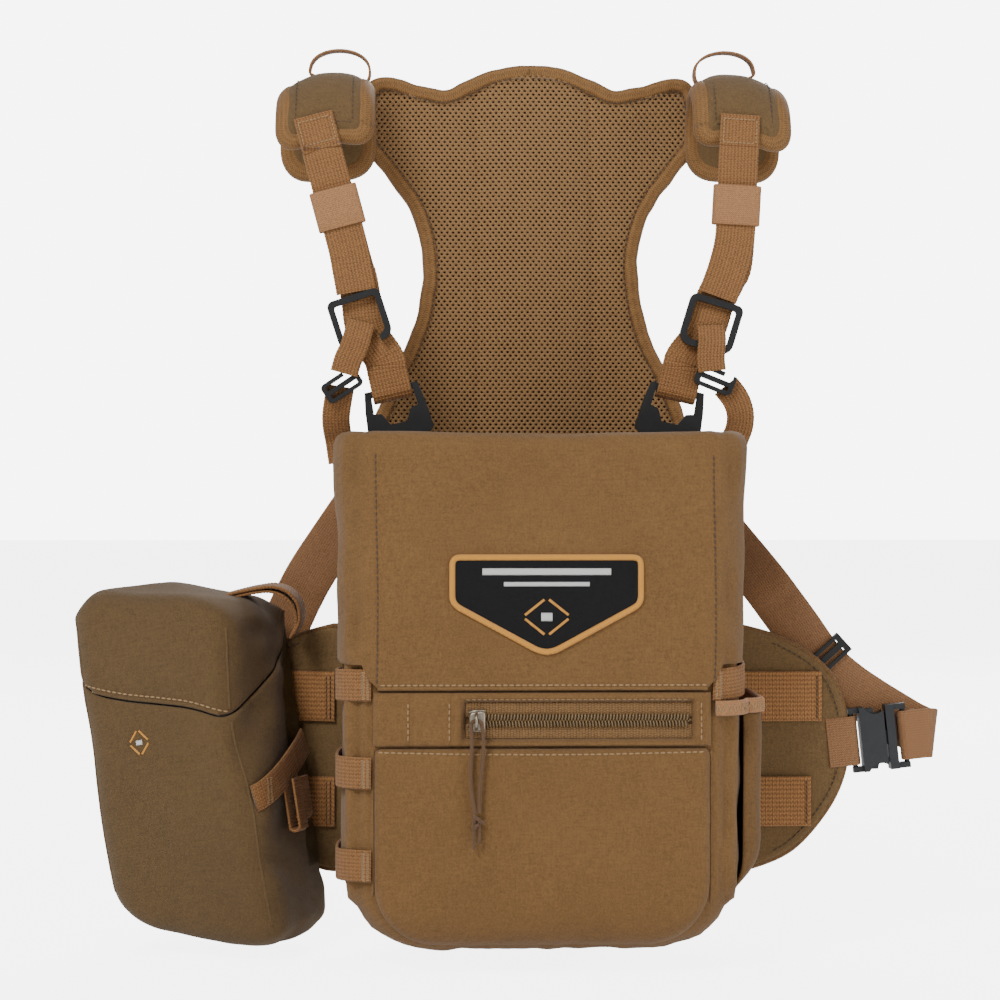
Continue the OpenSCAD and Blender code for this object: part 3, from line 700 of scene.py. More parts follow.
def tray(build, hw, length, corner, edge, face, low, place, step=4.0):
    """A face with one open end, and walls round the rest of it.

    u runs across, v from the open end to the closed one and w out of the face. corner is the
    outline's radius at the closed end and edge the radius between face and wall. low(u, v) is
    where the wall ends, and place(u, v, w) is the point in the frame.
    """
    base, straight = corner - edge, length - corner
    n, m = round(straight / step), max(3, round(base * math.pi / 2 / step))
    rows = [(straight * i / n, 0.0) for i in range(n)]
    rows += [(straight + base * math.sin(a), a) for a in (math.pi / 2 * i / m for i in range(m + 1))]
    columns = round(2 * (hw - edge) / step)
    grid = []
    for v, a in rows:
        half = hw - edge - base + base * math.cos(a)
        grid.append([(lerp(-half, half, j / columns), v) for j in range(columns + 1)])
    last = len(rows) - 1
    ring = [(i, 0, -math.cos(a), math.sin(a)) for i, (v, a) in enumerate(rows)]
    ring += [(last, j, 0, 1) for j in range(1, columns)]
    ring += [(i, columns, math.cos(rows[i][1]), math.sin(rows[i][1])) for i in range(last, -1, -1)]
    levels = []
    bend = max(4, round(edge * math.pi / 2 / min(step, 3)))
    for k in range(1, bend + 1):
        a = math.pi / 2 * k / bend
        levels.append((edge * math.sin(a), edge * (1 - math.cos(a)), 0.0))
    wall = round((face - edge - low(0, length)) / step)
    levels += [(edge, edge, k / wall) for k in range(1, wall + 1)]
    verts = [place(u, v, face) for row in grid for u, v in row]
    faces = []
    for i in range(last):
        for j in range(columns):
            a = i * (columns + 1) + j
            faces.append((a, a + 1, a + columns + 2, a + columns + 1))
    previous = [i * (columns + 1) + j for i, j, _, _ in ring]
    for offset, drop, share in levels:
        start = len(verts)
        for i, j, nu, nv in ring:
            u, v = grid[i][j][0] + nu * offset, grid[i][j][1] + nv * offset
            verts.append(place(u, v, lerp(face - drop, low(u, v), share)))
        for k in range(len(ring) - 1):
            faces.append((previous[k], previous[k + 1], start + k + 1, start + k))
        previous = list(range(start, start + len(ring)))
    return build.add(verts, faces)


def slab(build, us, vs, front, back, place, keep):
    """A slab over a grid, open where keep(u, v) is false at a cell's middle."""
    nu, nv = len(us), len(vs)
    verts = [place(u, v, front(u, v)) for v in vs for u in us]
    verts += [place(u, v, back) for v in vs for u in us]
    kept = {(i, j) for j in range(nv - 1) for i in range(nu - 1)
            if keep((us[i] + us[i + 1]) / 2, (vs[j] + vs[j + 1]) / 2)}
    faces, under = [], nu * nv
    for i, j in sorted(kept):
        a = j * nu + i
        quad = (a, a + 1, a + nu + 1, a + nu)
        faces.append(quad)
        faces.append(tuple(under + k for k in reversed(quad)))
        for (p, q), beside in (((a, a + 1), (i, j - 1)), ((a + 1, a + nu + 1), (i + 1, j)),
                               ((a + nu + 1, a + nu), (i, j + 1)), ((a + nu, a), (i - 1, j))):
            if beside not in kept:
                faces.append((q, p, under + p, under + q))
    used = sorted({k for f in faces for k in f})
    index = {k: n for n, k in enumerate(used)}
    return build.add([verts[k] for k in used], [tuple(index[k] for k in f) for f in faces])


def loft(build, rings, close_start=False, close_end=False):
    """A skin over rings of equally many points, each end closed by a fan if asked."""
    m = len(rings[0])
    verts = [v for ring in rings for v in ring]
    faces = ring_faces(len(rings), m, caps=False)
    for wanted, start in ((close_start, 0), (close_end, (len(rings) - 1) * m)):
        if wanted:
            middle = sum((Vector(v) for v in verts[start:start + m]), Vector()) / m
            verts.append(middle)
            faces += [(start + k, start + (k + 1) % m, len(verts) - 1) for k in range(m)]
    return build.add(verts, faces)


def skin_of(*objs):
    """A tree of the finished surface of these objects, to lay stitches on."""
    bpy.context.view_layer.update()
    graph = bpy.context.evaluated_depsgraph_get()
    verts, polygons = [], []
    for obj in objs:
        final = obj.evaluated_get(graph)
        mesh = final.to_mesh()
        start = len(verts)
        verts += [obj.matrix_world @ v.co for v in mesh.vertices]
        polygons += [tuple(start + i for i in p.vertices) for p in mesh.polygons]
        final.to_mesh_clear()
    return BVHTree.FromPolygons(verts, polygons)


def lay(tree, points, direction, lift=0.15, reach=60):
    """The points moved along a direction until they lie on the surface, lift above it."""
    direction = Vector(direction).normalized()
    out = []
    for p in points:
        p = Vector(p)
        hit = tree.ray_cast((p - direction * reach) * MM, direction)[0]
        if hit:
            out.append(hit / MM - direction * lift)
    return out


def line(a, b, step=1.0):
    a, b = Vector(a), Vector(b)
    n = max(2, round((b - a).length / step))
    return [a.lerp(b, i / n) for i in range(n + 1)]


def bartack(build, tree, a, b, direction, width=2.0, pitch=0.7):
    """A dense zigzag of thread from a to b."""
    a, b = Vector(a), Vector(b)
    across = (b - a).cross(Vector(direction)).normalized() * width / 2
    n = round((b - a).length / pitch)
    for i in range(n):
        pair = lay(tree, [a.lerp(b, i / n) - across, a.lerp(b, (i + 0.6) / n) + across], direction, 0.1)
        if len(pair) == 2:
            stitch(build, *pair, 0.3)


# ---- pack body -----------------------------------------------------------------------------

BODY_TOP, BODY_LOW, BODY_HW, BODY_FRONT, BACK_T = 117.5, -124.0, 95.0, -90.0, 7.4
BODY_CORNER, BODY_EDGE = 42, 19
PANEL_HW = 79.0
# The way that rays run from the front, to lay threads on a surface.
FRONT = Vector((0, 1, 0))


def corner_drop(t, radius):
    """How far a rounded edge has drawn in, t past the start of its curve."""
    return radius - math.sqrt(max(0.0, radius ** 2 - min(max(t, 0.0), radius) ** 2))


def fold(x, at, width, depth):
    """A soft groove of this depth along x = at."""
    return -depth * math.exp(-((x - at) / width) ** 2)


def body_shape(p, n):
    """Cloth that puffs a little between its seams and wrinkles on the sides and round the base."""
    side = smoothstep(0.3, 0.9, abs(n.x))
    move = side * (1.5 * ripple((p.x, p.y * 1.4, p.z * 0.45), 17) - 0.3)
    move += 0.5 * ripple(p, 34, 3) * (1 - side)
    if p.y < -60:
        wander = 2.2 * ripple((0, 0, p.z), 22, 7 if p.x > 0 else 17)
        move += fold(abs(p.x), 86.5 + wander, 1.6, 2.1) + fold(abs(p.x), 91.2 - wander, 2.2, -1.5)
        move += fold(abs(p.x), 93.6 + 0.6 * wander, 1.5, 1.3) * side
    low = smoothstep(-92, -120, p.z)
    return move + low * (1.1 * ripple((p.x, p.y * 0.6, 0), 13, 5) + 0.5 * ripple(p, 7, 6))


def front_drop(x, z):
    """How far the body's front has rounded back at a place near its outline."""
    edge, corner = BODY_EDGE, BODY_CORNER
    dx = max(0.0, abs(x) - (BODY_HW - edge))
    dz = max(0.0, BODY_LOW + edge - z)
    inner = corner - edge
    cx, cz = BODY_HW - corner, BODY_LOW + corner
    if abs(x) > cx and z < cz:
        past = math.hypot(abs(x) - cx, cz - z) - inner
    else:
        past = max(dx, dz)
    return corner_drop(past, edge)


def make_pack_body():
    def place(u, v, w):
        return (u, -w, BODY_TOP - v)

    def low(u, v):
        return BACK_T

    length = BODY_TOP - BODY_LOW
    outer = tray(Build(), BODY_HW, length, BODY_CORNER, BODY_EDGE, -BODY_FRONT, low, place, 3.2)
    shell = piece("pack_shell_cloth", outer, cloth, "harness", ("pack_front_panel", "pack_gusset"),
                  shape=body_shape)
    thicken(shell, 2.0)
    inner = tray(Build(), BODY_HW - 2.6, length - 3.1, 40, 17, 87.2, low, place, 5.0)
    liner = piece("pack_foam_liner", inner, foam_lining, "harness", ("pack_liner",),
                  shape=lambda p, n: 0.35 * ripple(p, 16, 2))
    refine(thicken(liner, 3.9))
    z = BODY_TOP - 0.6
    rim = [Vector((4.4 - BODY_HW, y, z)) for y in (-8.2, -70)]
    rim += [Vector((-BODY_HW + 23.5 - 19.1 * math.cos(a), -70 - 15.6 * math.sin(a), z))
            for a in (math.pi / 2 * i / 6 for i in range(1, 7))]
    rim += [Vector((-p.x, p.y, p.z)) for p in reversed(rim)]
    tape = strap(Build(), rim, (0, 0, 1), 2.0, 6.2, row=1.2, rib=0.06)
    piece("pack_rim_binding", tape, binding_cloth, "harness")
    return shell


def rounded_rect(x0, x1, z0, z1, low_r, high_r, low_steps=10, high_steps=5):
    """A rectangle whose two low corners have one radius and whose two high ones have another."""
    return (arc(x0 + low_r, z0 + low_r, low_r, 180, 270, low_steps)
            + arc(x1 - low_r, z0 + low_r, low_r, 270, 360, low_steps)
            + arc(x1 - high_r, z1 - high_r, high_r, 0, 90, high_steps)
            + arc(x0 + high_r, z1 - high_r, high_r, 90, 180, high_steps))


def make_back_panel():
    low, high = box("pack_back_panel")
    outline = resample(rounded_rect(low.x, high.x, low.z, high.z, BODY_CORNER, 8), 150)

    def thickness(x, z):
        channel = max(fold(abs(x), 33, 2.6, -1), fold(z, 70, 2.6, -1) if abs(x) < 33 else 0)
        return 7.0 - 2.2 * channel

    pad = plate(Build(), outline, 5, lambda x, z, o: (x, -3.7 + o, z), thickness, 5.0)
    back = piece("pack_back_pad", pad, backing_cloth, "harness", ("pack_back_panel",))
    refine(back)
    tree = skin_of(back)
    thread_build = Build()
    for x in (-33, 33):
        stitches(thread_build, lay(tree, line((x, 0, 112), (x, 0, -112)), -FRONT))
    stitches(thread_build, lay(tree, line((-33, 0, 70), (33, 0, 70)), -FRONT))
    piece("pack_back_stitches", thread_build, pale_thread, "harness")
    edge = [Vector((p.x * 0.985, -3.7, -1.5 + (p.y + 1.5) * 0.985)) for p in outline]
    cord = strap(Build(), edge, (0, 1, 0), 7.6, 3.4, row=1.2, rib=0.06, closed=True)
    piece("pack_back_binding", cord, binding_cloth, "harness")


def make_front_pocket():
    """The padded pocket under the zip: crowned, wrapped round the body's lower edge."""
    low, high = box("front_pocket")
    outline = resample(rounded_rect(low.x + 0.4, high.x - 0.4, low.z - 2.5, high.z - 0.5, 30, 2), 170)

    def place(x, z, o):
        across = 1 - (x / PANEL_HW) ** 2
        up = min(1, max(0, (z - low.z) / (high.z - low.z)))
        crown = 2.2 * across * (4 * up * (1 - up)) ** 0.7
        soft = 0.7 * ripple((x, z * 1.5, 0), 30, 4)
        soft += 0.6 * ripple((x * 0.35, z, 0), 8, 6) * smoothstep(-50, -30, z)
        soft += 0.7 * ripple((x, z * 0.5, 0), 11, 8) * smoothstep(-96, -118, z)
        tug = 0.8 * math.sin((x + 1.8 * z) / 5.5) * smoothstep(40, 74, x) * smoothstep(-85, -60, z)
        tug *= smoothstep(-34, -48, z)
        return (x, -91.0 + front_drop(x, z) - crown - soft - 0.5 * tug - max(o, 0), z)

    pad = plate(Build(), outline, 3.6, place, lambda x, z: 7.2, 4.5)
    pocket = piece("front_pocket_pad", pad, cloth, "harness", ("front_pocket",))
    refine(pocket)
    return pocket


def make_zip_panel():
    """The cloth round the zip's window, with the folds that are sewn down at its two ends."""
    x_low, x_high, z_low, z_high = -36, 70, -22.5, -5.5

    def window(x, z):
        return x_low < x < x_high and z_low < z < z_high

    def front(x, z):
        dx = max(x_low - x, x - x_high, 0)
        dz = max(z_low - z, z - z_high, 0)
        rise = 3.6 * smoothstep(-0.5, 2.2, math.hypot(dx, dz)) + 0.5
        for seam in (-42.5, -61.5, 75.5):
            rise += fold(x, seam, 0.9, 0.9) + fold(x, seam + 2.2, 1.4, -0.35)
        rise -= 1.1 * smoothstep(-3.2, -0.4, z) + 0.8 * smoothstep(-24.2, -26, z)
        rise *= 1 - 0.35 * smoothstep(76, 79, abs(x))
        return -90 - rise - 0.35 * ripple((x, z, 0), 11, 8)

    us = [-79 + i for i in range(0, 43)] + [x_low + 2 * i for i in range(0, 54)] \
        + [x_high + i for i in range(1, 10)]
    us = sorted({round(u, 3) for u in us})
    vs = sorted({-26, -25, -24, -23.2, z_low, *[z_low + 1.7 * i for i in range(1, 10)], z_high,
                 -4.8, -4, -3.2, -2.4, -1.6, -0.8})
    cloth_build = slab(Build(), us, vs, front, -90, lambda u, v, w: (u, w, v),
                       lambda u, v: not window(u, v))
    panel = piece("zip_panel_cloth", cloth_build, cloth, "harness", ("zip_panel",))
    refine(panel)
    tree = skin_of(panel)
    threads = Build()
    for x in (-43.6, -62.8, 74.2):
        stitches(threads, lay(tree, line((x, -90, -23.5), (x, -90, -4)), FRONT), 3.0)
    stitches(threads, lay(tree, line((x_low, -90, -4.1), (x_high, -90, -4.1)), FRONT), 2.6, radius=0.25)
    piece("zip_panel_stitches", threads, pale_thread, "harness")


def make_zipper():
    low, high = box("zipper_tape")
    middle = (low.z + high.z) / 2
    tapes = Build()
    for z0, z1 in ((low.z, middle - 1.6), (middle + 1.6, high.z)):
        centre, width = (z0 + z1) / 2, z1 - z0
        strap(tapes, [(low.x, -90.7, centre), (high.x, -90.7, centre)], (0, 0, 1), width, 1.0,
              row=1.4, rib=0.09)
    piece("zipper_tapes", tapes, tape_cloth, "harness", ("zipper_tape",))
    coil = Build()
    pitch, turns = 1.5, int((high.x - low.x) / 1.5) - 1
    for side in (-1, 1):
        points = []
        for i in range(turns * 10):
            a = 2 * math.pi * i / 10
            points.append((low.x + 1 + pitch * (i / 10 + (0.5 if side > 0 else 0)),
                           -91.9 - 1.0 * math.cos(a), middle + side * (1.5 + 1.6 * math.sin(a))))
        tube(coil, points, 0.42, 6)
    piece("zipper_coils", coil, coil_plastic, "harness", ("zipper_coil",))
    make_slider()


def make_slider():
    """The zip's slider: a shield-shaped plate with lips that grip the coil, and a bail."""
    low, high = box("zipper_slider")
    x, z = (low.x + high.x) / 2, (low.z + high.z) / 2
    corners = [(x - 3.4, z - 4.0), (x + 4.4, z - 5.0), (x + 4.4, z + 5.0), (x - 3.4, z + 4.0)]
    shield = rounded(corners, 2.2, 6)
    build = plate(Build(), resample(shield, 70), 1.0,
                  lambda u, v, o: (u, -94.3 - o, v),
                  lambda u, v: 1.9 + 0.5 * math.exp(-((v - z) / 1.2) ** 2), 1.0)
    for side in (-1, 1):
        tube(build, [(x - 3.6, -93.3, z + side * 4.0), (x, -93.2, z + side * 4.6),
                     (x + 4.2, -93.3, z + side * 4.8)], 0.75, 8)
    bail = [(x, -94.6, z + 3.6), (x, -96.6, z + 3.3), (x, -98.4, z + 2.0), (x, -98.9, z),
            (x, -98.4, z - 2.0), (x, -96.6, z - 3.3), (x, -94.6, z - 3.6)]
    tube(build, spline(bail, 0.6), 0.75, 8)
    piece("zip_slider_body", build, nickel, "zip_slider", ("zipper_slider",))


CORD_R = 0.9


def make_zip_pull():
    """Two strands of thin cord from the slider's bail, tied in one knot with two tails."""
    bail = Vector((-31, -97.4, -14))
    knot = bail + Vector((0, -2.4, -45))
    for side, name in ((-1, "pull_cord_left"), (1, "pull_cord_right")):
        start = bail + Vector((side * 2.6, 0, -1.5))
        points = [start.lerp(knot + Vector((side * 0.9, 0, 2.6)), i / 14) for i in range(15)]
        for i, p in enumerate(points):
            p.x += side * 0.8 * math.sin(math.pi * i / 14) + 0.5 * math.sin(2.2 * math.pi * i / 14)
        curve = bpy.data.curves.new(name, "CURVE")
        curve.dimensions = "3D"
        curve.bevel_depth = CORD_R * MM
        curve.bevel_resolution = 4
        curve.use_fill_caps = True
        line_spline = curve.splines.new("POLY")
        dense = spline(points, 1.0)
        line_spline.points.add(len(dense) - 1)
        for node, p in zip(line_spline.points, dense):
            node.co = (*(p * MM), 1)
        curve.materials.append(cord_thread)
        obj = bpy.data.objects.new(name, curve)
        bpy.context.scene.collection.objects.link(obj)
        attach(obj, "zip_cord")
        length = sum((q - p).length for p, q in zip(dense, dense[1:]))
    saddle = [bail + Vector((2.6 * math.cos(a), 0, -1.5 + 1.9 * math.sin(a)))
              for a in (math.pi * i / 12 for i in range(13))]
    knotted = Build()
    tube(knotted, saddle, CORD_R, 10)
    ring = [knot + Vector((2.0 * math.cos(a) + 0.9 * math.cos(2 * a), -0.2 - 1.2 * math.sin(3 * a),
                           -1.4 + 2.3 * math.sin(a) - 0.9 * math.sin(2 * a)))
            for a in (2 * math.pi * i / 40 for i in range(40))]
    tube(knotted, ring, CORD_R, 8, closed=True)
    tube(knotted, [knot + Vector((-1.6, -0.6, 1.2)), knot + Vector((1.4, -1.6, 0)),
                   knot + Vector((1.5, 0.6, -1.8)), knot + Vector((-1.2, -0.4, -2.6))], CORD_R, 8)
    for side, length in ((-1, 11.5), (1, 9.0)):
        tail = [knot + Vector((side * (0.9 + 0.5 * math.sin(t * 2.4)), 0.2, -2.4 - length * t))
                for t in (i / 8 for i in range(9))]
        tube(knotted, tail, lambda t: CORD_R * (1 - 0.25 * t), 8)
    knot_piece = piece("pull_knot", knotted, cord_thread, "zip_cord", ("zipper_pull",))


def make_pack_seams(shell, pocket):
    """Topstitching along the pocket's top edge and piping down its two sides."""
    tree = skin_of(shell, pocket)
    threads = Build()
    top = [(x, -95, -28.6 - 1.1 * math.cos(math.pi * x / 2 / PANEL_HW)) for x in range(-77, 78)]
    stitches(threads, lay(tree, top, FRONT), 3.0, 0.7, 0.5)
    piece("pocket_stitches", threads, pale_thread, "harness")
    low, high = box("front_pocket")
    piping = Build()
    for x, end in ((low.x - 0.1, -96), (high.x + 0.1, -100)):
        path = [Vector((x, -100, z)) for z in range(end, -27, 2)]
        tube(piping, lay(tree, path, FRONT, -0.1), 0.7, 8)
    piece("pocket_piping", piping, cloth, "harness")


# ---- side pocket and loops -----------------------------------------------------------------

def body_edge(z, x_max, low, corner):
    """How far out a rounded lower corner lets the side stand at height z."""
    centre = low + corner
    if z >= centre:
        return x_max
    return x_max - corner + math.sqrt(max(0.0, corner ** 2 - (z - centre) ** 2))


def make_side_pocket():
    low, high = box("side_pocket")
    middle = (low.y + high.y) / 2

    def place(u, v, w):
        z = high.z - v
        inner = body_edge(z, BODY_HW, BODY_LOW, BODY_CORNER)
        outer = max(body_edge(z, high.x, low.z, 34), inner + 0.8)
        return (inner + (outer - inner) * (w - BODY_HW) / (high.x - BODY_HW), middle + u, z)

    def shape(p, n):
        return 1.0 * ripple((p.x, p.y * 1.2, p.z * 0.35), 13, 9) - 0.6 * smoothstep(-30, -90, p.z)

    build = tray(Build(), (high.y - low.y) / 2, high.z - low.z, 20, 10, high.x,
                 lambda u, v: BODY_HW + 0.2, place, 3.0)
    pocket = piece("side_pocket_cloth", build, stretch_cloth, "harness", ("side_pocket",),
                   shape=shape)
    refine(thicken(pocket, 1.4))
    low, high = box("side_pocket_binding")
    z = (low.z + high.z) / 2
    ring = [(81, -92.8), (87, -92.2), (92.6, -88.6), (96.2, -83), (high.x - 10, low.y + 1.6)]
    ring += [(high.x - 11 + 9.6 * math.sin(a), low.y + 11 - 9.6 * math.cos(a))
             for a in (math.pi / 2 * i / 5 for i in range(1, 6))]
    ring += [(x, low.y + high.y - y) for x, y in reversed(ring[4:])] + [(BODY_HW + 0.6, high.y - 1.4)]
    path = [Vector((x, y, z)) for x, y in ring]
    tape = strap(Build(), path, (0, 0, 1), 7.2, 2.4, row=1.3, rib=0.08)
    piece("side_pocket_elastic", tape, keeper_cloth, "harness", ("side_pocket_binding",))
    zigzag = Build()
    dense = spline(path, 1.6)
    corners = []
    for i, (p, t) in enumerate(zip(dense, tangents(dense))):
        out = t.cross(Vector((0, 0, 1)))
        corners.append(p + out * 1.35 + Vector((0, 0, 1.9 if i % 2 else -1.9)))
    for a, b in zip(corners, corners[1:]):
        stitch(zigzag, a, b, 0.32)
    piece("side_pocket_zigzag", zigzag, pale_thread, "harness")


def loop_path(z, side, tilt=0.0):
    """Plan of a flat loop from the front panel's seam round the corner and along the side."""
    gap = 1.6
    points = [(80.2, BODY_FRONT - 0.7), (83, BODY_FRONT - gap)]
    points += [(75 + (20 + gap) * math.sin(a), -70 - (20 + gap) * math.cos(a))
               for a in (math.radians(d) for d in (22, 36, 50, 64, 78, 90))]
    points += [(96.6 + 0.8 * math.sin(math.pi * t), -70 + 48 * t) for t in (0.25, 0.5, 0.75, 1.0)]
    return [Vector((side * x, y, z + tilt * (y - BODY_FRONT) / 50)) for x, y in points]


def make_side_loops():
    loops, tacks = Build(), Build()
    heights = [(2.5, -1, -2.5), (-38.7, -1, -1.5), (-82.0, -1, -3.0), (2.5, 1, 5.0)]
    for z, side, tilt in heights:
        strap(loops, loop_path(z, side, tilt), (0, 0, 1), 15, 1.5, row=1.25, rib=0.10)
    obj = piece("side_loops_elastic", loops, strap_cloth, "harness", ("side_loops",))
    tree = skin_of(obj)
    for z, side, _ in heights:
        for x in (81.6, 84.0):
            bartack(tacks, tree, (side * x, -92, z - 6.6), (side * x, -92, z + 6.6), FRONT, 1.6, 0.8)
    piece("side_loop_tacks", tacks, pale_thread, "harness")


# ---- lid -----------------------------------------------------------------------------------

def lid_shape(p, n):
    """A stiffened front, soft gussets that pull in below the top, and a rounded top edge."""
    side = smoothstep(80, 92, abs(p.x))
    move = 0.0
    if n.z < 0.5:
        down = smoothstep(112, 66, p.z)
        move -= side * 1.9 * down
        move += side * (1.3 * ripple((p.x * 0.3, p.y * 0.8, p.z * 0.5), 14, 11))
        move += 2.2 * side * math.exp(-((p.y + 26) / 13) ** 2 - ((p.z - 102) / 13) ** 2)
        wander = 1.8 * ripple((0, 0, p.z), 17, 12 if p.x > 0 else 15)
        if p.y < -74:
            move += fold(abs(p.x), 87.0 + wander, 1.4, 2.6) * smoothstep(3, 20, p.z)
            move += fold(abs(p.x), 90.6 + wander, 1.6, -1.5)
            move += fold(abs(p.x), 83.2, 1.8, -0.9)
            move += fold(abs(p.x), 79.2, 0.8, 0.6)
        if p.y < -90 and abs(p.x) < 80:
            move += 0.8 * math.cos(math.pi * p.x / 160) * math.sin(math.pi * min(1, p.z / 118))
            move += 0.25 * ripple(p, 26, 13)
            move += fold(p.z, 4.6, 1.0, 0.5) * (1 - side)
    else:
        move += 0.5 * ripple(p, 22, 14) - 0.8 * math.cos(math.pi * min(1, abs(p.x) / 98))
        move += fold(abs(p.x), 84, 2.2, 1.0)
    return move


def make_lid():
    low, high = box("lid_hood")
    back = high.y

    def place(u, v, w):
        return (u, back - v, w)

    def wall_end(u, v):
        return low.z + 11.6 * smoothstep(PANEL_HW, PANEL_HW + 4, abs(u))

    build = tray(Build(), high.x, back - low.y, 22, 7, high.z, wall_end, place, 3.0)
    hood = piece("lid_hood_cloth", build, cloth, "lid", ("lid_hood",), shape=lid_shape)
    thicken(hood, 2.4)
    tree = skin_of(hood)
    threads = Build()
    for x in (-77.4, 80.6):
        seam = [Vector((x + 0.5 * math.sin(z / 23), -100, z)) for z in range(3, 113)]
        stitches(threads, lay(tree, seam, FRONT), 3.0, 0.8, 0.4)
    hem = [Vector((x, -100, 2.6)) for x in range(-76, 80)]
    piece("lid_side_stitches", threads, dark_thread, "lid")
    hem_threads = Build()
    stitches(hem_threads, lay(tree, hem, FRONT), 3.0, 0.7, 0.5)
    piece("lid_hem_stitches", hem_threads, pale_thread, "lid")
    hem_tape = Build()
    tube(hem_tape, lay(tree, [Vector((x, -100, 1.2)) for x in range(-79, 80, 2)], FRONT, -0.4), 1.0, 8)
    piece("lid_hem_roll", hem_tape, cloth, "lid")
    return hood


def satin(build, path, width, height, normal, closed=False, pitch=0.55):
    """A raised satin-stitched band along a path, ribbed thread by thread."""
    dense = spline(path, pitch / 2, closed) if len(path) > 2 or closed else line(*path, pitch / 2)
    normal = Vector(normal).normalized()
    m, verts = 8, []
    for i, (p, t) in enumerate(zip(dense, tangents(dense, closed))):
        s = t.cross(normal).normalized()
        r = 1.0 if i % 2 else 0.88
        for k in range(m):
            a = 2 * math.pi * k / m
            verts.append(p + s * (width / 2 * r * math.cos(a)) + normal * (height * r * math.sin(a)))
    return build.add(verts, ring_faces(len(dense), m, closed))


def rounded(points, radius, steps=4):
    """A closed 2D outline with its corners rounded."""
    out, n = [], len(points)
    for i in range(n):
        p, a, b = Vector(points[i]), Vector(points[i - 1]), Vector(points[(i + 1) % n])
        start, end = p + (a - p).normalized() * radius, p + (b - p).normalized() * radius
        for k in range(steps + 1):
            t = k / steps
            out.append((1 - t) ** 2 * start + 2 * t * (1 - t) * p + t * t * end)
    return out


def lozenge_sides(x, z, wide, tall):
    """The four sides of an upright lozenge, as pairs of (x, z) corners."""
    angles = [math.pi / 2 * a for a in range(5)]
    corners = [(x + wide * math.cos(a), z + tall * math.sin(a)) for a in angles]
    return zip(corners, corners[1:])


def make_patch():
    """A plain five-sided patch: gold border, white bars and a gold lozenge with a white heart."""
    low, high = box("lid_patch")
    mid_x = (low.x + high.x) / 2
    half = (high.x - low.x) / 2
    outline = [(-half, high.z), (half, high.z), (half, 40.5), (3, low.z), (-3, low.z), (-half, 40.5)]
    outline = [(mid_x + x, z) for x, z in outline]
    y = low.y + 0.2
    twill = plate(Build(), resample(rounded([(mid_x + (x - mid_x) * 0.97, 41 + (z - 41) * 0.97)
                                             for x, z in outline], 3), 120), 2.2,
                  lambda x, z, o: (x, y + 1.2 - o + 0.10 * ripple((x, z, 0), 1.6, 3), z),
                  lambda x, z: 1.6, 1.0)
    piece("patch_twill", twill, patch_cloth, "lid", ("lid_patch",))
    border = Build()
    shrunk = [(mid_x + (x - mid_x) * 0.965, 41 + (z - 41) * 0.95) for x, z in rounded(outline, 4)]
    ring = resample(shrunk, 150)
    satin(border, [Vector((p.x, y + 0.4, p.y)) for p in ring], 3.0, 1.0, (0, -1, 0), closed=True)
    centre = 34.5
    for corners in lozenge_sides(mid_x, centre, 11.25, 9.0):
        a, b = (Vector((x, y + 0.4, z)) for x, z in corners)
        satin(border, [a.lerp(b, 0.1), a.lerp(b, 0.9)], 1.3, 0.6, (0, -1, 0))
    piece("patch_gold_threads", border, gold_thread, "lid")
    white = Build()
    for z, reach, width in ((55.6, 30, 3.4), (49.8, 20, 2.2)):
        satin(white, [Vector((mid_x - reach, y + 0.4, z)), Vector((mid_x + reach, y + 0.4, z))],
              width, 0.6, (0, -1, 0))
    satin(white, [Vector((mid_x - 2.6, y + 0.4, centre)), Vector((mid_x + 2.6, y + 0.4, centre))],
          4.2, 0.7, (0, -1, 0))
    piece("patch_white_threads", white, white_thread, "lid")


# ---- wings, belt and buckles ---------------------------------------------------------------

BELT_WIDTH, MOLLE_WIDTH = 25, 25.4
WING_X = 91.0
WING_YAW = math.radians(-20.4)
# The left wing's own place, and the way there from the right wing's coordinates.
LEFT_WING = Matrix.Translation((-WING_X, 0, 0)) @ Matrix.Rotation(WING_YAW, 4, "Z")
ON_LEFT = LEFT_WING @ Matrix.Scale(-1, 4, (1, 0, 0)) @ Matrix.Translation((-WING_X, 0, 0))
# The buckle's own place on the right wing.
IN_BUCKLE = Matrix.Translation((176, 3.6, -32)) @ Matrix.Rotation(math.radians(-6), 4, "Y")
# The wing's outline beyond its fold, as (x, z).
WING_EDGE = [(104, 25), (122, 20), (138, 12), (150, 2), (157, -12), (160, -30), (158, -50),
             (149, -69), (132, -88), (112, -97), (100, -98)]
# For each row of webbing: its two ends and its height.
MOLLE = [(101, 146, -10.5), (101, 140.5, -63.7)]
SIDES = (("right", Matrix()), ("left", ON_LEFT))


